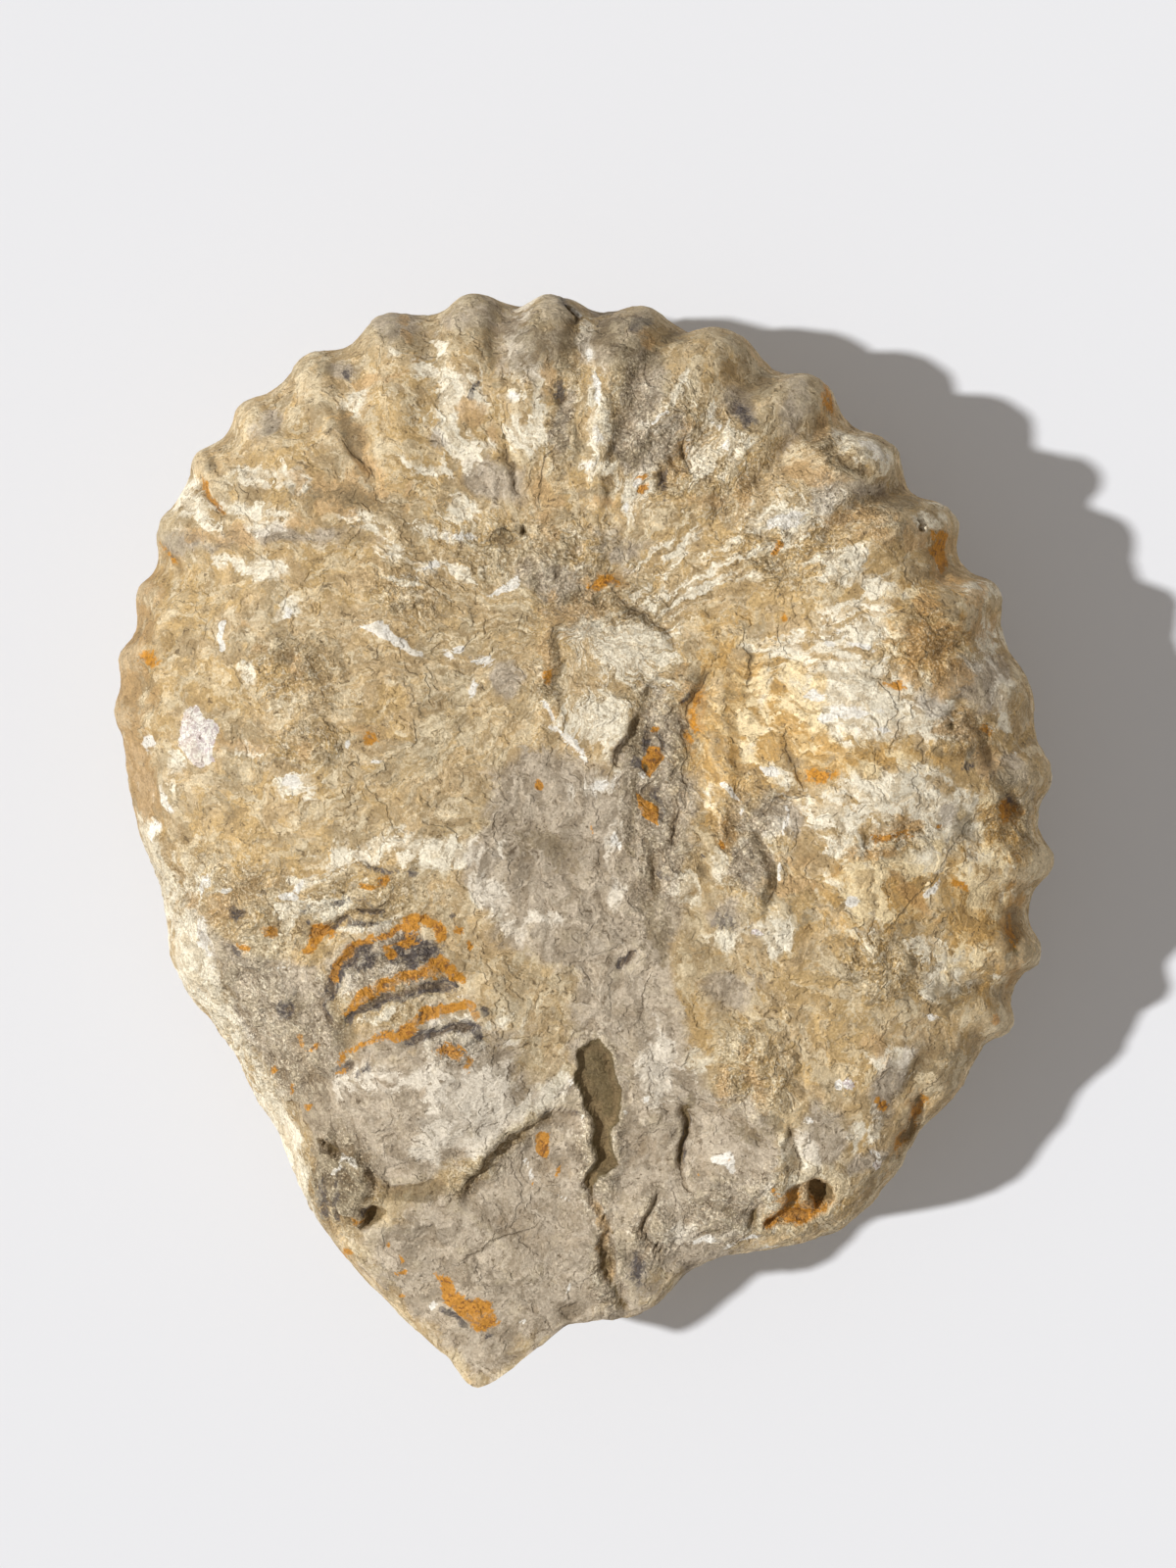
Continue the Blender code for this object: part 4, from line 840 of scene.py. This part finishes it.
        (793, 893, 2.5, 5, 1.5), (659, 784, 2.5, 5, 1.5), (516, 443, 3, 4, 2),
        ("line", [(455, 1204), (457, 1212)], 1.5, 1.5), (847, 463, 3, 3, 2), (880, 482, 3, 3, 2),
    ],
    "white": [
        ("shape", [(368, 634), (384, 634), (404, 648), (432, 662), (430, 669), (404, 662),
                   (380, 646)], 2),
        (460, 669, 8, 4, 25, 2), (472, 664, 6, 3, -10, 2), (492, 675, 15, 4, 6, 2),
        ("shape", [(500, 606), (510, 598), (526, 588), (529, 592), (520, 602), (508, 607)], 2),
        ("line", [(224, 636), (221, 646), (224, 661)], 2.8, 1.5),
        ("line", [(552, 722), (558, 728), (563, 734)], 2.5, 1.5),
        ("line", [(566, 742), (577, 752), (590, 764), (598, 776)], 3.5, 3), (294, 797, 10, 8, 10, 4),
        (148, 760, 6, 8, 3), (156, 848, 5, 10, 15, 3), (168, 814, 5, 16, -8, 3),
        (736, 1183, 9, 6, 10, 2.5), (746, 1192, 5, 5, 2), (828, 1140, 8, 3, 8, 2.5), (860, 1112, 5, 5, 2),
        (612, 800, 14, 6, -20, 4), (630, 856, 4, 9, -20, 2.5), (355, 757, 4, 4, 1.5),
        (382, 778, 3, 2, 1.5), (640, 1132, 4, 6, 3), (662, 1116, 5, 5, 2.5), (586, 1112, 4, 6, 2.5),
        ("line", [(582, 308), (588, 324)], 2, 1.2), (205, 955, 7, 26, -6, 4), (208, 905, 5, 10, 3),
        ("line", [(734, 800), (744, 804), (751, 813)], 2.2, 1.2), (757, 834, 1.5, 8, 1.5),
        ("line", [(801, 825), (802, 850)], 2, 1.5), ("line", [(796, 880), (797, 898)], 1.2, 1.2),
        (783, 789, 9, 5, 10, 3), (480, 702, 3, 8, 3), ("line", [(420, 1284), (426, 1300)], 1.2, 1.5),
        ("line", [(584, 1310), (580, 1332)], 1.2, 1.5), ("line", [(566, 1216), (582, 1228)], 1.5, 1.5),
        ("line", [(536, 1188), (540, 1202)], 1.5, 1.5), ("line", [(594, 1140), (592, 1146)], 2, 1.5),
        (532, 1354, 4, 3, 2), (441, 1334, 3, 4, 2), (340, 1192, 2, 6, 30, 1.5), (352, 1186, 9, 3, 25, 2),
        (230, 905, 8, 3, -40, 2), (290, 989, 9, 2, -12, 1.5), (300, 906, 3, 8, 20, 2),
        (292, 920, 7, 3, -10, 2), (470, 545, 12, 4, 14, 2.5), (890, 462, 14, 7, 20, 4),
        (608, 392, 4, 10, 10, 3), (612, 444, 5, 7, 3), (603, 474, 9, 5, 3),
        ("line", [(668, 432), (674, 428), (680, 422)], 1.8, 1.2), (728, 434, 3, 5, 1.5),
        (724, 426, 1.5, 6, 1.2), (743, 450, 5, 5, 2), (705, 458, 1.5, 8, 1.5), (651, 488, 5, 5, 2),
        (640, 518, 3, 6, 2), (740, 489, 2.5, 2.5, 1.2), (598, 358, 4, 5, 2), (520, 404, 4, 5, 2),
        (878, 655, 16, 3, 30, 3), (848, 655, 8, 4, 3), (830, 710, 9, 5, -20, 3),
        (865, 730, 20, 8, -10, 6), (900, 745, 16, 4, 3), (955, 905, 4, 12, 30, 2),
        (870, 925, 7, 5, -30, 2.5), (800, 530, 20, 9, 5), (440, 1027, 3, 2, 1.2), (469, 1013, 3, 2, 1.2),
        (655, 792, 4, 4, 30, 2), (679, 697, 3, 2, 1.2), (1042, 766, 2.5, 5, -20, 1.5),
        (955, 1035, 6, 5, 3), (896, 1182, 4, 5, 2), (720, 1268, 14, 3, -8, 2.5),
        (765, 1272, 14, 3, -10, 2.5), (440, 578, 8, 3, 2), (290, 628, 6, 4, -20, 2.5),
        (710, 1268, 3, 3, 1.5),
    ],
    "mauve": [
        ("shape", [(183, 728), (190, 721), (198, 730), (202, 738), (212, 735), (219, 742), (214, 752),
                   (211, 762), (219, 776), (213, 780), (202, 782), (194, 776), (188, 762),
                   (180, 756)], 2),
        (868, 1111, 6, 5, 2), (773, 953, 8, 4, 2), (892, 1191, 5, 4, 2),
    ],
}
# Cracks seen as fine dark lines
CRACKS = [
    [(480, 1288), (508, 1271), (530, 1262), (549, 1254)], [(575, 305), (581, 316), (587, 328)],
    [(566, 455), (556, 466), (550, 490), (548, 510)], [(658, 372), (662, 386)],
    [(700, 445), (699, 470), (704, 482)], [(350, 448), (358, 460), (372, 470), (380, 482)],
    [(520, 446), (522, 470), (525, 490), (529, 500)], [(500, 549), (510, 541), (520, 538)],
    [(622, 603), (642, 618), (663, 625), (680, 644)], [(592, 597), (596, 610), (605, 617)],
    [(622, 782), (630, 770), (639, 756)], [(641, 712), (648, 722), (652, 730)],
    [(664, 740), (672, 750), (675, 766), (670, 780)],
    [(696, 745), (699, 765), (698, 790), (701, 806), (699, 822)],
    [(686, 815), (691, 830), (691, 845), (687, 858)], [(680, 862), (682, 880), (692, 890)],
    [(724, 688), (711, 708), (704, 726), (706, 740)], [(762, 660), (767, 672), (766, 686), (764, 697)],
    [(801, 750), (806, 768), (812, 785), (818, 800)], [(782, 828), (788, 816), (804, 812), (820, 810)],
    [(790, 886), (795, 900), (788, 922)],
    [(985, 858), (972, 874), (955, 895), (948, 906), (926, 925), (908, 945)],
    [(697, 1186), (696, 1202), (702, 1218)],
    [(673, 1216), (663, 1235), (658, 1252), (663, 1268), (672, 1284)],
    [(810, 1155), (816, 1175), (815, 1202)],
    [(534, 1151), (515, 1165), (497, 1183), (480, 1202), (462, 1223)],
    [(333, 952), (346, 943), (358, 937)], [(368, 933), (388, 927)],
    [(338, 1150), (341, 1165), (341, 1178)], [(663, 1000), (657, 1018), (650, 1036)],
    [(267, 912), (272, 925), (281, 943)],
]
CRACK_REACH = 8.0
FIELD_LIMIT = 6.0
# Marks fade out over the widest part of the stone, so that none reaches its underside
HIDDEN_BAND, HIDDEN_DROP = 0.12, 12.0


def mark_field(marks, x, y):
    """How far inside the nearest mark, in units of its own edge softness, kept within a limit."""
    field = np.full(np.shape(x), -FIELD_LIMIT)
    for mark in marks:
        if mark[0] == "line":
            _, points, half, soft = mark
            inside = half - to_line(points, x, y)[0]
        elif mark[0] == "shape":
            _, outline, soft = mark
            inside = in_shape(outline, x, y)
        else:
            cx, cy, half_w, half_h, *turned, soft = mark
            turn = turned[0] if turned else 0.0
            out = in_oval(cx, cy, half_w, half_h, turn, x, y)
            inside = (1.0 - out) * min(half_w, half_h)
        field = np.maximum(field, inside / soft)
    return np.clip(field, -FIELD_LIMIT, FIELD_LIMIT)


def add_attribute(mesh, name, values):
    """One value for each point, for the material to read."""
    attribute = mesh.attributes.new(name, "FLOAT", "POINT")
    attribute.data.foreach_set("value", np.ascontiguousarray(values, np.float32))


def build_stone():
    """The mesh with the fields of all its marks."""
    points, faces, x, y, swell, facing, crumbly = build_points()
    mesh = bpy.data.meshes.new("ammonite_stone")
    mesh.vertices.add(len(points))
    mesh.vertices.foreach_set("co", (points * METRES).astype(np.float32).ravel())
    mesh.loops.add(faces.size)
    mesh.loops.foreach_set("vertex_index", faces.astype(np.int32).ravel())
    mesh.polygons.add(len(faces))
    mesh.polygons.foreach_set("loop_start", np.arange(0, faces.size, 3, dtype=np.int32))
    mesh.update(calc_edges=True)
    mesh.validate()
    mesh.shade_smooth()
    hidden = -HIDDEN_DROP * smooth_step(HIDDEN_BAND, -HIDDEN_BAND, facing)
    for name, marks in MARKS.items():
        if name != "crumbly":
            add_attribute(mesh, name, np.maximum(mark_field(marks, x, y) + hidden, -FIELD_LIMIT))
    add_attribute(mesh, "crumbly", crumbly)
    near = np.full(len(x), 1e9)
    signed = np.zeros(len(x))
    for crack in CRACKS:
        away, side, _ = to_line(crack, x, y)
        signed = np.where(away < near, side, signed)
        near = np.minimum(near, away)
    add_attribute(mesh, "crack_side", np.clip(signed, -CRACK_REACH, CRACK_REACH))
    add_attribute(mesh, "crack_near", np.clip(1.5 - near / 6.0, 0.0, 1.0) * (facing > 0.0))
    add_attribute(mesh, "crest", np.clip(swell / 3.0, 0.0, 1.5))
    add_attribute(mesh, "hollow", np.clip(hollows(points, faces, 10), -1.0, 1.0))
    stone = bpy.data.objects.new("ammonite_stone", mesh)
    bpy.context.scene.collection.objects.link(stone)
    print("stone triangles", len(mesh.polygons), "points", len(points))
    return stone


# ---------------------------------------------------------------- material
class Nodes:
    """Short ways to add shader nodes."""

    def __init__(self, material):
        self.tree = material.node_tree

    def new(self, kind, **settings):
        node = self.tree.nodes.new(kind)
        for name, value in settings.items():
            setattr(node, name, value)
        return node

    def put(self, socket, value):
        if isinstance(value, bpy.types.NodeSocket):
            self.tree.links.new(value, socket)
        elif isinstance(value, tuple) and len(socket.default_value) == 4:
            socket.default_value = value + (1.0,)
        else:
            socket.default_value = value

    def math(self, operation, a, b=None, c=None, clamp=False):
        node = self.new("ShaderNodeMath", operation=operation, use_clamp=clamp)
        for k, value in enumerate((a, b, c)):
            if value is not None:
                self.put(node.inputs[k], value)
        return node.outputs[0]

    def attribute(self, name):
        return self.new("ShaderNodeAttribute", attribute_name=name).outputs["Fac"]

    def noise(self, vector, scale, detail=4.0, roughness=0.55, output="Fac"):
        node = self.new("ShaderNodeTexNoise")
        self.put(node.inputs["Vector"], vector)
        self.put(node.inputs["Scale"], scale)
        self.put(node.inputs["Detail"], detail)
        self.put(node.inputs["Roughness"], roughness)
        return node.outputs[output]

    def vector(self, operation, a, b, c=None):
        node = self.new("ShaderNodeVectorMath", operation=operation)
        self.put(node.inputs[0], a)
        if operation == "SCALE":
            self.put(node.inputs["Scale"], b)
        else:
            self.put(node.inputs[1], b)
        if c is not None:
            self.put(node.inputs[2], c)
        return node.outputs["Value" if operation == "DOT_PRODUCT" else "Vector"]

    def ramp(self, value, low, high):
        """0 below low, 1 above high, smooth between."""
        node = self.new("ShaderNodeMapRange", interpolation_type="SMOOTHSTEP")
        self.put(node.inputs["Value"], value)
        self.put(node.inputs["From Min"], low)
        self.put(node.inputs["From Max"], high)
        return node.outputs[0]

    def mix(self, share, a, b, blend="MIX"):
        node = self.new("ShaderNodeMix", data_type="RGBA", blend_type=blend)
        self.put(node.inputs[0], share)
        self.put(node.inputs[6], a)
        self.put(node.inputs[7], b)
        return node.outputs[2]

    def grey(self, value):
        node = self.new("ShaderNodeCombineColor")
        for k in range(3):
            self.put(node.inputs[k], value)
        return node.outputs[0]

    def flakes(self, vector, scale, levels, riser):
        """Flat treads and crisp risers; returns the height in levels and how near a riser's foot is."""
        run = self.math("MULTIPLY", self.noise(vector, scale, 4.0, 0.52), levels)
        rest = self.math("FRACT", run)
        tread = self.math("FLOOR", run)
        return self.math("ADD", tread, self.ramp(rest, 0.0, riser)), self.ramp(rest, 0.86, 0.99)

    def rays(self, vector):
        """The place in angle, distance and height about the coil's centre: stretched along the ribs."""
        parts = self.new("ShaderNodeSeparateXYZ")
        self.put(parts.inputs[0], vector)
        east = self.math("SUBTRACT", parts.outputs[0], STREAK_CENTRE[0])
        north = self.math("SUBTRACT", parts.outputs[1], STREAK_CENTRE[1])
        out = self.math("SQRT", self.math("ADD", self.math("POWER", self.math("ABSOLUTE", east), 2.0),
                                          self.math("POWER", self.math("ABSOLUTE", north), 2.0)))
        turn = self.new("ShaderNodeCombineXYZ")
        self.put(turn.inputs[0], self.math("MULTIPLY", self.math("ARCTAN2", north, east), 60.0))
        self.put(turn.inputs[1], self.math("MULTIPLY", out, 0.33))
        self.put(turn.inputs[2], parts.outputs[2])
        return turn.outputs[0]

    def cells(self, vector, scale):
        node = self.new("ShaderNodeTexVoronoi")
        self.put(node.inputs["Vector"], vector)
        self.put(node.inputs["Scale"], scale)
        return node

    def chance(self, cells):
        """A chance value of 0 to 1 for each cell."""
        parts = self.new("ShaderNodeSeparateColor")
        self.put(parts.inputs[0], cells.outputs["Color"])
        return parts.outputs[0]

    def pits(self, vector, scale):
        """Small dark spots of chance size, in some of the cells only."""
        cells = self.cells(vector, scale)
        size = self.math("MULTIPLY", self.ramp(self.chance(cells), 0.55, 1.0), 0.17)
        return self.ramp(self.math("SUBTRACT", size, cells.outputs["Distance"]), 0.0, 0.05)

    def shards(self, vector, scale):
        """A chance value of -0.5 to 0.5 for each small cell of stone: flakes with crisp sides."""
        return self.math("SUBTRACT", self.chance(self.cells(vector, scale)), 0.5)

    def chips(self, vector, scale):
        """Slanted flat chips, about -0.5 to 0.5, each with a random slope."""
        cells = self.cells(vector, scale)
        away = self.vector("SUBTRACT", self.vector("SCALE", vector, scale),
                           self.vector("SCALE", cells.outputs["Position"], scale))
        slope = self.vector("SUBTRACT", cells.outputs["Color"], (0.5, 0.5, 0.5))
        return self.vector("DOT_PRODUCT", away, slope)


# Colours of the stone, its stains and its marks, painted shade among them; the last two tint what is below
KHAKI = (0.53, 0.415, 0.248)
TAN = (0.67, 0.50, 0.283)
CREAM = (0.82, 0.70, 0.48)
DEEP_TAN = (0.42, 0.285, 0.135)
GREY = (0.415, 0.335, 0.24)
DEEP_GREY = (0.26, 0.205, 0.14)
PALE_GREY = (0.56, 0.475, 0.365)
CHALK = (0.94, 0.86, 0.68)
OCHRE = (0.62, 0.43, 0.195)
BROWN = (0.60, 0.40, 0.195)
# Olive-grey stone colour, also used as painted shade
OLIVE_AND_SHADE = (0.22, 0.165, 0.09)
RUST = (0.62, 0.27, 0.025)
DARK_RUST = (0.36, 0.135, 0.012)
PURPLE = (0.105, 0.088, 0.083)
# Brown infill of holes, dark with painted shade
HOLE_AND_SHADE = (0.16, 0.113, 0.045)
QUARTZ = (0.93, 0.885, 0.79)
ASH = (0.80, 0.72, 0.59)
MAUVE = (0.66, 0.56, 0.54)
CRACK = (0.12, 0.078, 0.038)
# Painted shade for the hollows and the feet of steps, with some dirt in the hollows
DIRT_AND_SHADE = (0.27, 0.18, 0.09)
YELLOWING = (1.0, 0.86, 0.60)
# Tint of painted shade along the left rim and right of the seam, and of darker soil
SOIL_AND_SHADE = (0.78, 0.75, 0.70)
STREAK_CENTRE = (COIL_U + UMBILICUS[0], COIL_V + UMBILICUS[1])
LEAST_ROUGHNESS, ROUGHNESS_GAIN, SHINE = 0.72, 0.2, 0.25
BUMP_STRENGTH = 0.78


def limestone():
    """The stone's material."""
    material = bpy.data.materials.new("limestone_look")
    material.use_nodes = True
    n = Nodes(material)
    shader = material.node_tree.nodes["Principled BSDF"]
    place = n.new("ShaderNodeTexCoord").outputs["Object"]
    # The place in mm, swayed and frayed so that no edge is straight
    at = n.vector("SCALE", place, 1.0 / METRES)
    sway = n.vector("SUBTRACT", n.noise(at, 0.10, 4.0, 0.6, "Color"), (0.5, 0.5, 0.5))
    bent = n.vector("MULTIPLY_ADD", sway, (12.0, 12.0, 12.0), at)
    rays = n.rays(bent)
    fray = n.vector("SUBTRACT", n.noise(at, 1.1, 2.0, 0.6, "Color"), (0.5, 0.5, 0.5))
    ragged = n.vector("MULTIPLY_ADD", fray, (2.2, 2.2, 2.2), bent)
    chip = n.shards(ragged, 0.42)
    crumb = n.shards(ragged, 1.5)
    sliver = n.shards(n.rays(ragged), 0.65)
    crumbly = n.attribute("crumbly")

    def rising(gain, least):
        """A share that grows with the crumbling."""
        return n.math("MULTIPLY_ADD", crumbly, gain, least)

    # Textures about 0.5 in the middle, from the broadest to the finest
    broad = n.noise(at, 0.045, 3.0, 0.6)
    mottle = n.math("MULTIPLY_ADD", chip, 0.12, n.noise(bent, 0.10, 5.0, 0.52))
    patchy = n.math("MULTIPLY_ADD", chip, 0.13, n.noise(bent, 0.26, 4.0, 0.52))
    streaks = n.math("MULTIPLY_ADD", sliver, 0.14, n.noise(rays, 0.22, 5.0, 0.58))
    strokes = n.math("MULTIPLY_ADD", sliver, 0.18, n.noise(rays, 0.45, 3.0, 0.5))
    flecks = n.math("MULTIPLY_ADD", crumb, 0.18, n.noise(bent, 0.75, 4.0, 0.60))
    fine = n.noise(at, 2.0, 3.0, 0.62)

    def mark(base, name, colour, amount, texture, strength=1.0, crisp=0.35, blend="MIX"):
        field = n.math("MULTIPLY_ADD", n.math("SUBTRACT", texture, 0.5), amount, n.attribute(name))
        share = n.math("MULTIPLY", n.ramp(field, -crisp, crisp), strength)
        return n.mix(share, base, colour, blend)

    def spread(base, texture, low, high, colour, strength):
        return n.mix(n.math("MULTIPLY", n.ramp(texture, low, high), strength), base, colour)

    # Plain stone and its stains
    colour = n.mix(n.ramp(mottle, 0.44, 0.56), KHAKI, TAN)
    colour = spread(colour, broad, 0.46, 0.60, OCHRE, 0.35)
    colour = spread(colour, patchy, 0.45, 0.40, DEEP_TAN, 0.38)
    colour = spread(colour, patchy, 0.55, 0.60, OCHRE, 0.42)
    colour = mark(colour, "ochre", OCHRE, 9.0, patchy, 0.9, 0.6)
    # Bare limestone
    grey = n.mix(n.ramp(patchy, 0.38, 0.60), GREY, PALE_GREY)
    greyness = n.ramp(n.math("MULTIPLY_ADD", n.math("SUBTRACT", mottle, 0.5), 6.0, n.attribute("grey")),
                      -0.7, 0.7)
    colour = n.mix(n.math("MULTIPLY", greyness, 0.92), colour, grey)
    light = n.mix(greyness, CREAM, PALE_GREY)
    dark = n.mix(greyness, DEEP_TAN, DEEP_GREY)
    # Worn ribs, brushed streaks and shell remains
    worn = n.math("MULTIPLY_ADD", n.math("SUBTRACT", strokes, 0.5), 6.0, n.attribute("crest"))
    colour = spread(colour, worn, 0.4, 1.5, KHAKI, 0.5)
    colour = spread(colour, streaks, 0.55, 0.59, light, 0.45)
    colour = spread(colour, strokes, 0.57, 0.61, light, 0.42)
    # 1 outside the pale patches, which have fewer dark flecks
    clean = n.ramp(n.attribute("pale"), 2.0, -0.5)
    streaky = n.math("MULTIPLY_ADD", n.ramp(strokes, 0.44, 0.50), 0.40, 0.55)
    colour = mark(colour, "pale", n.mix(greyness, CHALK, ASH), 8.0, streaks, streaky, 0.5)
    colour = spread(colour, flecks, 0.58, 0.61, CHALK, rising(0.40, 0.16))
    colour = mark(colour, "brown", BROWN, 7.0, patchy, 0.85, 0.7)
    share = n.math("MULTIPLY_ADD", clean, 0.28, 0.06)
    colour = spread(colour, streaks, 0.43, 0.38, dark, share)
    # Olive-grey stone and painted shade on steep facets
    colour = mark(colour, "olive_and_shade", OLIVE_AND_SHADE, 5.0, flecks, 0.7, 0.6)
    # Washes that tint what lies below them
    colour = mark(colour, "yellow", YELLOWING, 6.0, patchy, 0.8, 0.9, "MULTIPLY")
    # Painted shade along the left rim and right of the seam, with darker soil on the nodule and top ribs
    colour = mark(colour, "soil_and_shade", SOIL_AND_SHADE, 5.0, patchy, 0.9, 0.9, "MULTIPLY")
    share = n.math("MULTIPLY_ADD", clean, 0.32, 0.06)
    colour = spread(colour, strokes, 0.41, 0.37, dark, share)
    colour = spread(colour, flecks, 0.42, 0.38, dark, rising(0.25, 0.34))
    # Small crisp marks
    specks = n.math("MULTIPLY", n.ramp(fine, 0.58, 0.63), crumbly)
    colour = n.mix(n.math("MULTIPLY", specks, 0.6), colour, CREAM)
    speckled = n.math("MULTIPLY_ADD", n.ramp(flecks, 0.50, 0.60), -0.40, 0.97)
    colour = mark(colour, "purple", PURPLE, 5.0, flecks, speckled)
    colour = mark(colour, "rust", n.mix(n.ramp(flecks, 0.40, 0.47), DARK_RUST, RUST), 4.0, flecks, 0.92)
    colour = mark(colour, "white", QUARTZ, 4.5, strokes, 0.95)
    colour = mark(colour, "mauve", n.mix(n.ramp(flecks, 0.45, 0.55), MAUVE, QUARTZ), 3.0, fine)
    # Holes and slits: brown infill darkened with painted shade
    colour = mark(colour, "hole_and_shade", HOLE_AND_SHADE, 4.0, flecks, 0.9)

    # Painted shade with some dirt in the hollows, rubbed high points and grain
    shake = n.math("MULTIPLY", n.math("SUBTRACT", flecks, 0.5), 0.6)
    depth = n.math("ADD", n.attribute("hollow"), shake)
    colour = spread(colour, depth, 0.08, 0.34, DIRT_AND_SHADE, 0.36)
    colour = spread(colour, depth, -0.10, -0.32, CREAM, 0.3)
    share = n.math("MULTIPLY_ADD", clean, 0.5, 0.15)
    colour = spread(colour, flecks, 0.34, 0.31, CRACK, share)
    grain = n.mix(n.ramp(fine, 0.34, 0.66), (0.66, 0.625, 0.56), (1.26, 1.265, 1.27))
    colour = n.mix(rising(0.35, 0.45), colour, grain, "MULTIPLY")
    tone = n.math("MULTIPLY", crumb, rising(0.20, 0.15))
    tone = n.math("MULTIPLY_ADD", sliver, 0.20, n.math("ADD", tone, 1.0))
    tone = n.math("MULTIPLY_ADD", chip, 0.13, tone)
    colour = n.mix(1.0, colour, n.grey(tone), "MULTIPLY")

    # Flaked relief with painted shade at the foot of each step
    large = n.flakes(bent, 0.065, 9.0, 0.30)[0]
    small, foot = n.flakes(bent, 0.22, 6.0, 0.14)
    foot = n.math("MULTIPLY", n.math("MULTIPLY", foot, crumbly), n.ramp(patchy, 0.44, 0.54))
    colour = n.mix(n.math("MULTIPLY", foot, 0.5), colour, DIRT_AND_SHADE)

    spots = n.math("MULTIPLY", n.pits(bent, 0.36), crumbly)
    colour = n.mix(n.math("MULTIPLY", spots, 0.6), colour, CRACK)

    # Cracks
    wander = n.math("MULTIPLY", n.math("SUBTRACT", n.noise(at, 0.9, 3.0), 0.5), 5.0)
    side = n.math("ABSOLUTE", n.math("ADD", n.attribute("crack_side"), wander))
    line = n.math("MULTIPLY", n.ramp(side, 1.3, 0.4), n.ramp(n.attribute("crack_near"), 0.15, 0.6))
    line = n.math("MULTIPLY", line, n.ramp(flecks, 0.38, 0.48))
    colour = n.mix(n.math("MULTIPLY", line, 0.6), colour, CRACK)
    n.put(shader.inputs["Base Color"], colour)

    n.put(shader.inputs["Roughness"], n.math("MULTIPLY_ADD", fine, ROUGHNESS_GAIN, LEAST_ROUGHNESS))
    n.put(shader.inputs["Specular IOR Level"], SHINE)

    height = n.math("MULTIPLY", large, 0.32)
    for part, share in (
        (small, rising(0.28, 0.04)),
        (n.chips(bent, 0.30), rising(0.9, 0.35)),
        (n.ramp(flecks, 0.58, 0.63), n.math("MULTIPLY", crumbly, 0.15)),
        (fine, rising(0.24, 0.14)),
        (line, -0.35),
        (sliver, 0.24),
        (crumb, rising(0.20, 0.05)),
        (spots, -0.5),
    ):
        height = n.math("MULTIPLY_ADD", part, share, height)
    bump = n.new("ShaderNodeBump")
    n.put(bump.inputs["Height"], height)
    n.put(bump.inputs["Distance"], METRES)
    n.put(bump.inputs["Strength"], BUMP_STRENGTH)
    n.put(shader.inputs["Normal"], bump.outputs[0])
    return material


# ---------------------------------------------------------------- stage
LAMP_PLACE, LAMP_RADIUS = (-764.6, -30.7, 771.6), 20.0
LAMP_COLOUR, LAMP_STRENGTH = (0.985, 0.99, 1.0, 1.0), 37.0
SKY_COLOUR, SKY_STRENGTH = (1.0, 0.94, 0.885, 1.0), 0.33
FLOOR_COLOUR, FLOOR_ROUGHNESS = (0.81, 0.82, 0.845, 1.0), 0.9
FLOOR_HALF, FLOOR_DROP = 1500.0, 0.2


def even_lamp():
    """A small lamp to the left that grows stronger with distance, so the floor is lit evenly."""
    light = bpy.data.lights.new("key", "POINT")
    light.shadow_soft_size = LAMP_RADIUS * METRES
    light.energy = 1.0
    light.use_nodes = True
    nodes, links = light.node_tree.nodes, light.node_tree.links
    emission = nodes["Emission"]
    falloff = nodes.new("ShaderNodeLightFalloff")
    falloff.inputs["Strength"].default_value = LAMP_STRENGTH
    reach = nodes.new("ShaderNodeLightPath")
    even = nodes.new("ShaderNodeMath")
    even.operation = "MULTIPLY"
    links.new(falloff.outputs["Constant"], even.inputs[0])
    links.new(reach.outputs["Ray Length"], even.inputs[1])
    links.new(even.outputs[0], emission.inputs["Strength"])
    emission.inputs["Color"].default_value = LAMP_COLOUR
    key = bpy.data.objects.new("key", light)
    key.location = tuple(c * METRES for c in LAMP_PLACE)
    bpy.context.scene.collection.objects.link(key)


def build_stage():
    """A plain pale floor in soft light."""
    material = bpy.data.materials.new("pale_floor")
    material.use_nodes = True
    shader = material.node_tree.nodes["Principled BSDF"]
    shader.inputs["Base Color"].default_value = FLOOR_COLOUR
    shader.inputs["Roughness"].default_value = FLOOR_ROUGHNESS
    shader.inputs["Specular IOR Level"].default_value = 0.0
    half = FLOOR_HALF * METRES
    mesh = bpy.data.meshes.new("floor")
    mesh.from_pydata([(-half, -half, 0), (half, -half, 0), (half, half, 0), (-half, half, 0)], [],
                     [(0, 1, 2, 3)])
    mesh.materials.append(material)
    floor = bpy.data.objects.new("floor", mesh)
    floor.location.z = -FLOOR_DROP * METRES
    bpy.context.scene.collection.objects.link(floor)
    even_lamp()

    world = bpy.data.worlds.new("studio")
    world.use_nodes = True
    back = world.node_tree.nodes["Background"]
    back.inputs["Color"].default_value = SKY_COLOUR
    back.inputs["Strength"].default_value = SKY_STRENGTH
    bpy.context.scene.world = world
    bpy.context.scene.view_settings.view_transform = "Standard"
    return floor


def build_camera():
    """The picture's camera, straight above the stone."""
    data = bpy.data.cameras.new("camera")
    data.sensor_width = SENSOR_MM
    data.lens = LENS_MM
    camera = bpy.data.objects.new("camera", data)
    camera.location = ((COIL_U + CAMERA_U) * METRES, (COIL_V + CAMERA_V) * METRES, CAMERA_HEIGHT * METRES)
    bpy.context.scene.collection.objects.link(camera)
    bpy.context.scene.camera = camera


stone = build_stone()
stone.data.materials.append(limestone())
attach(stone, "root")
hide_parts("ammonite")
build_stage()
build_camera()
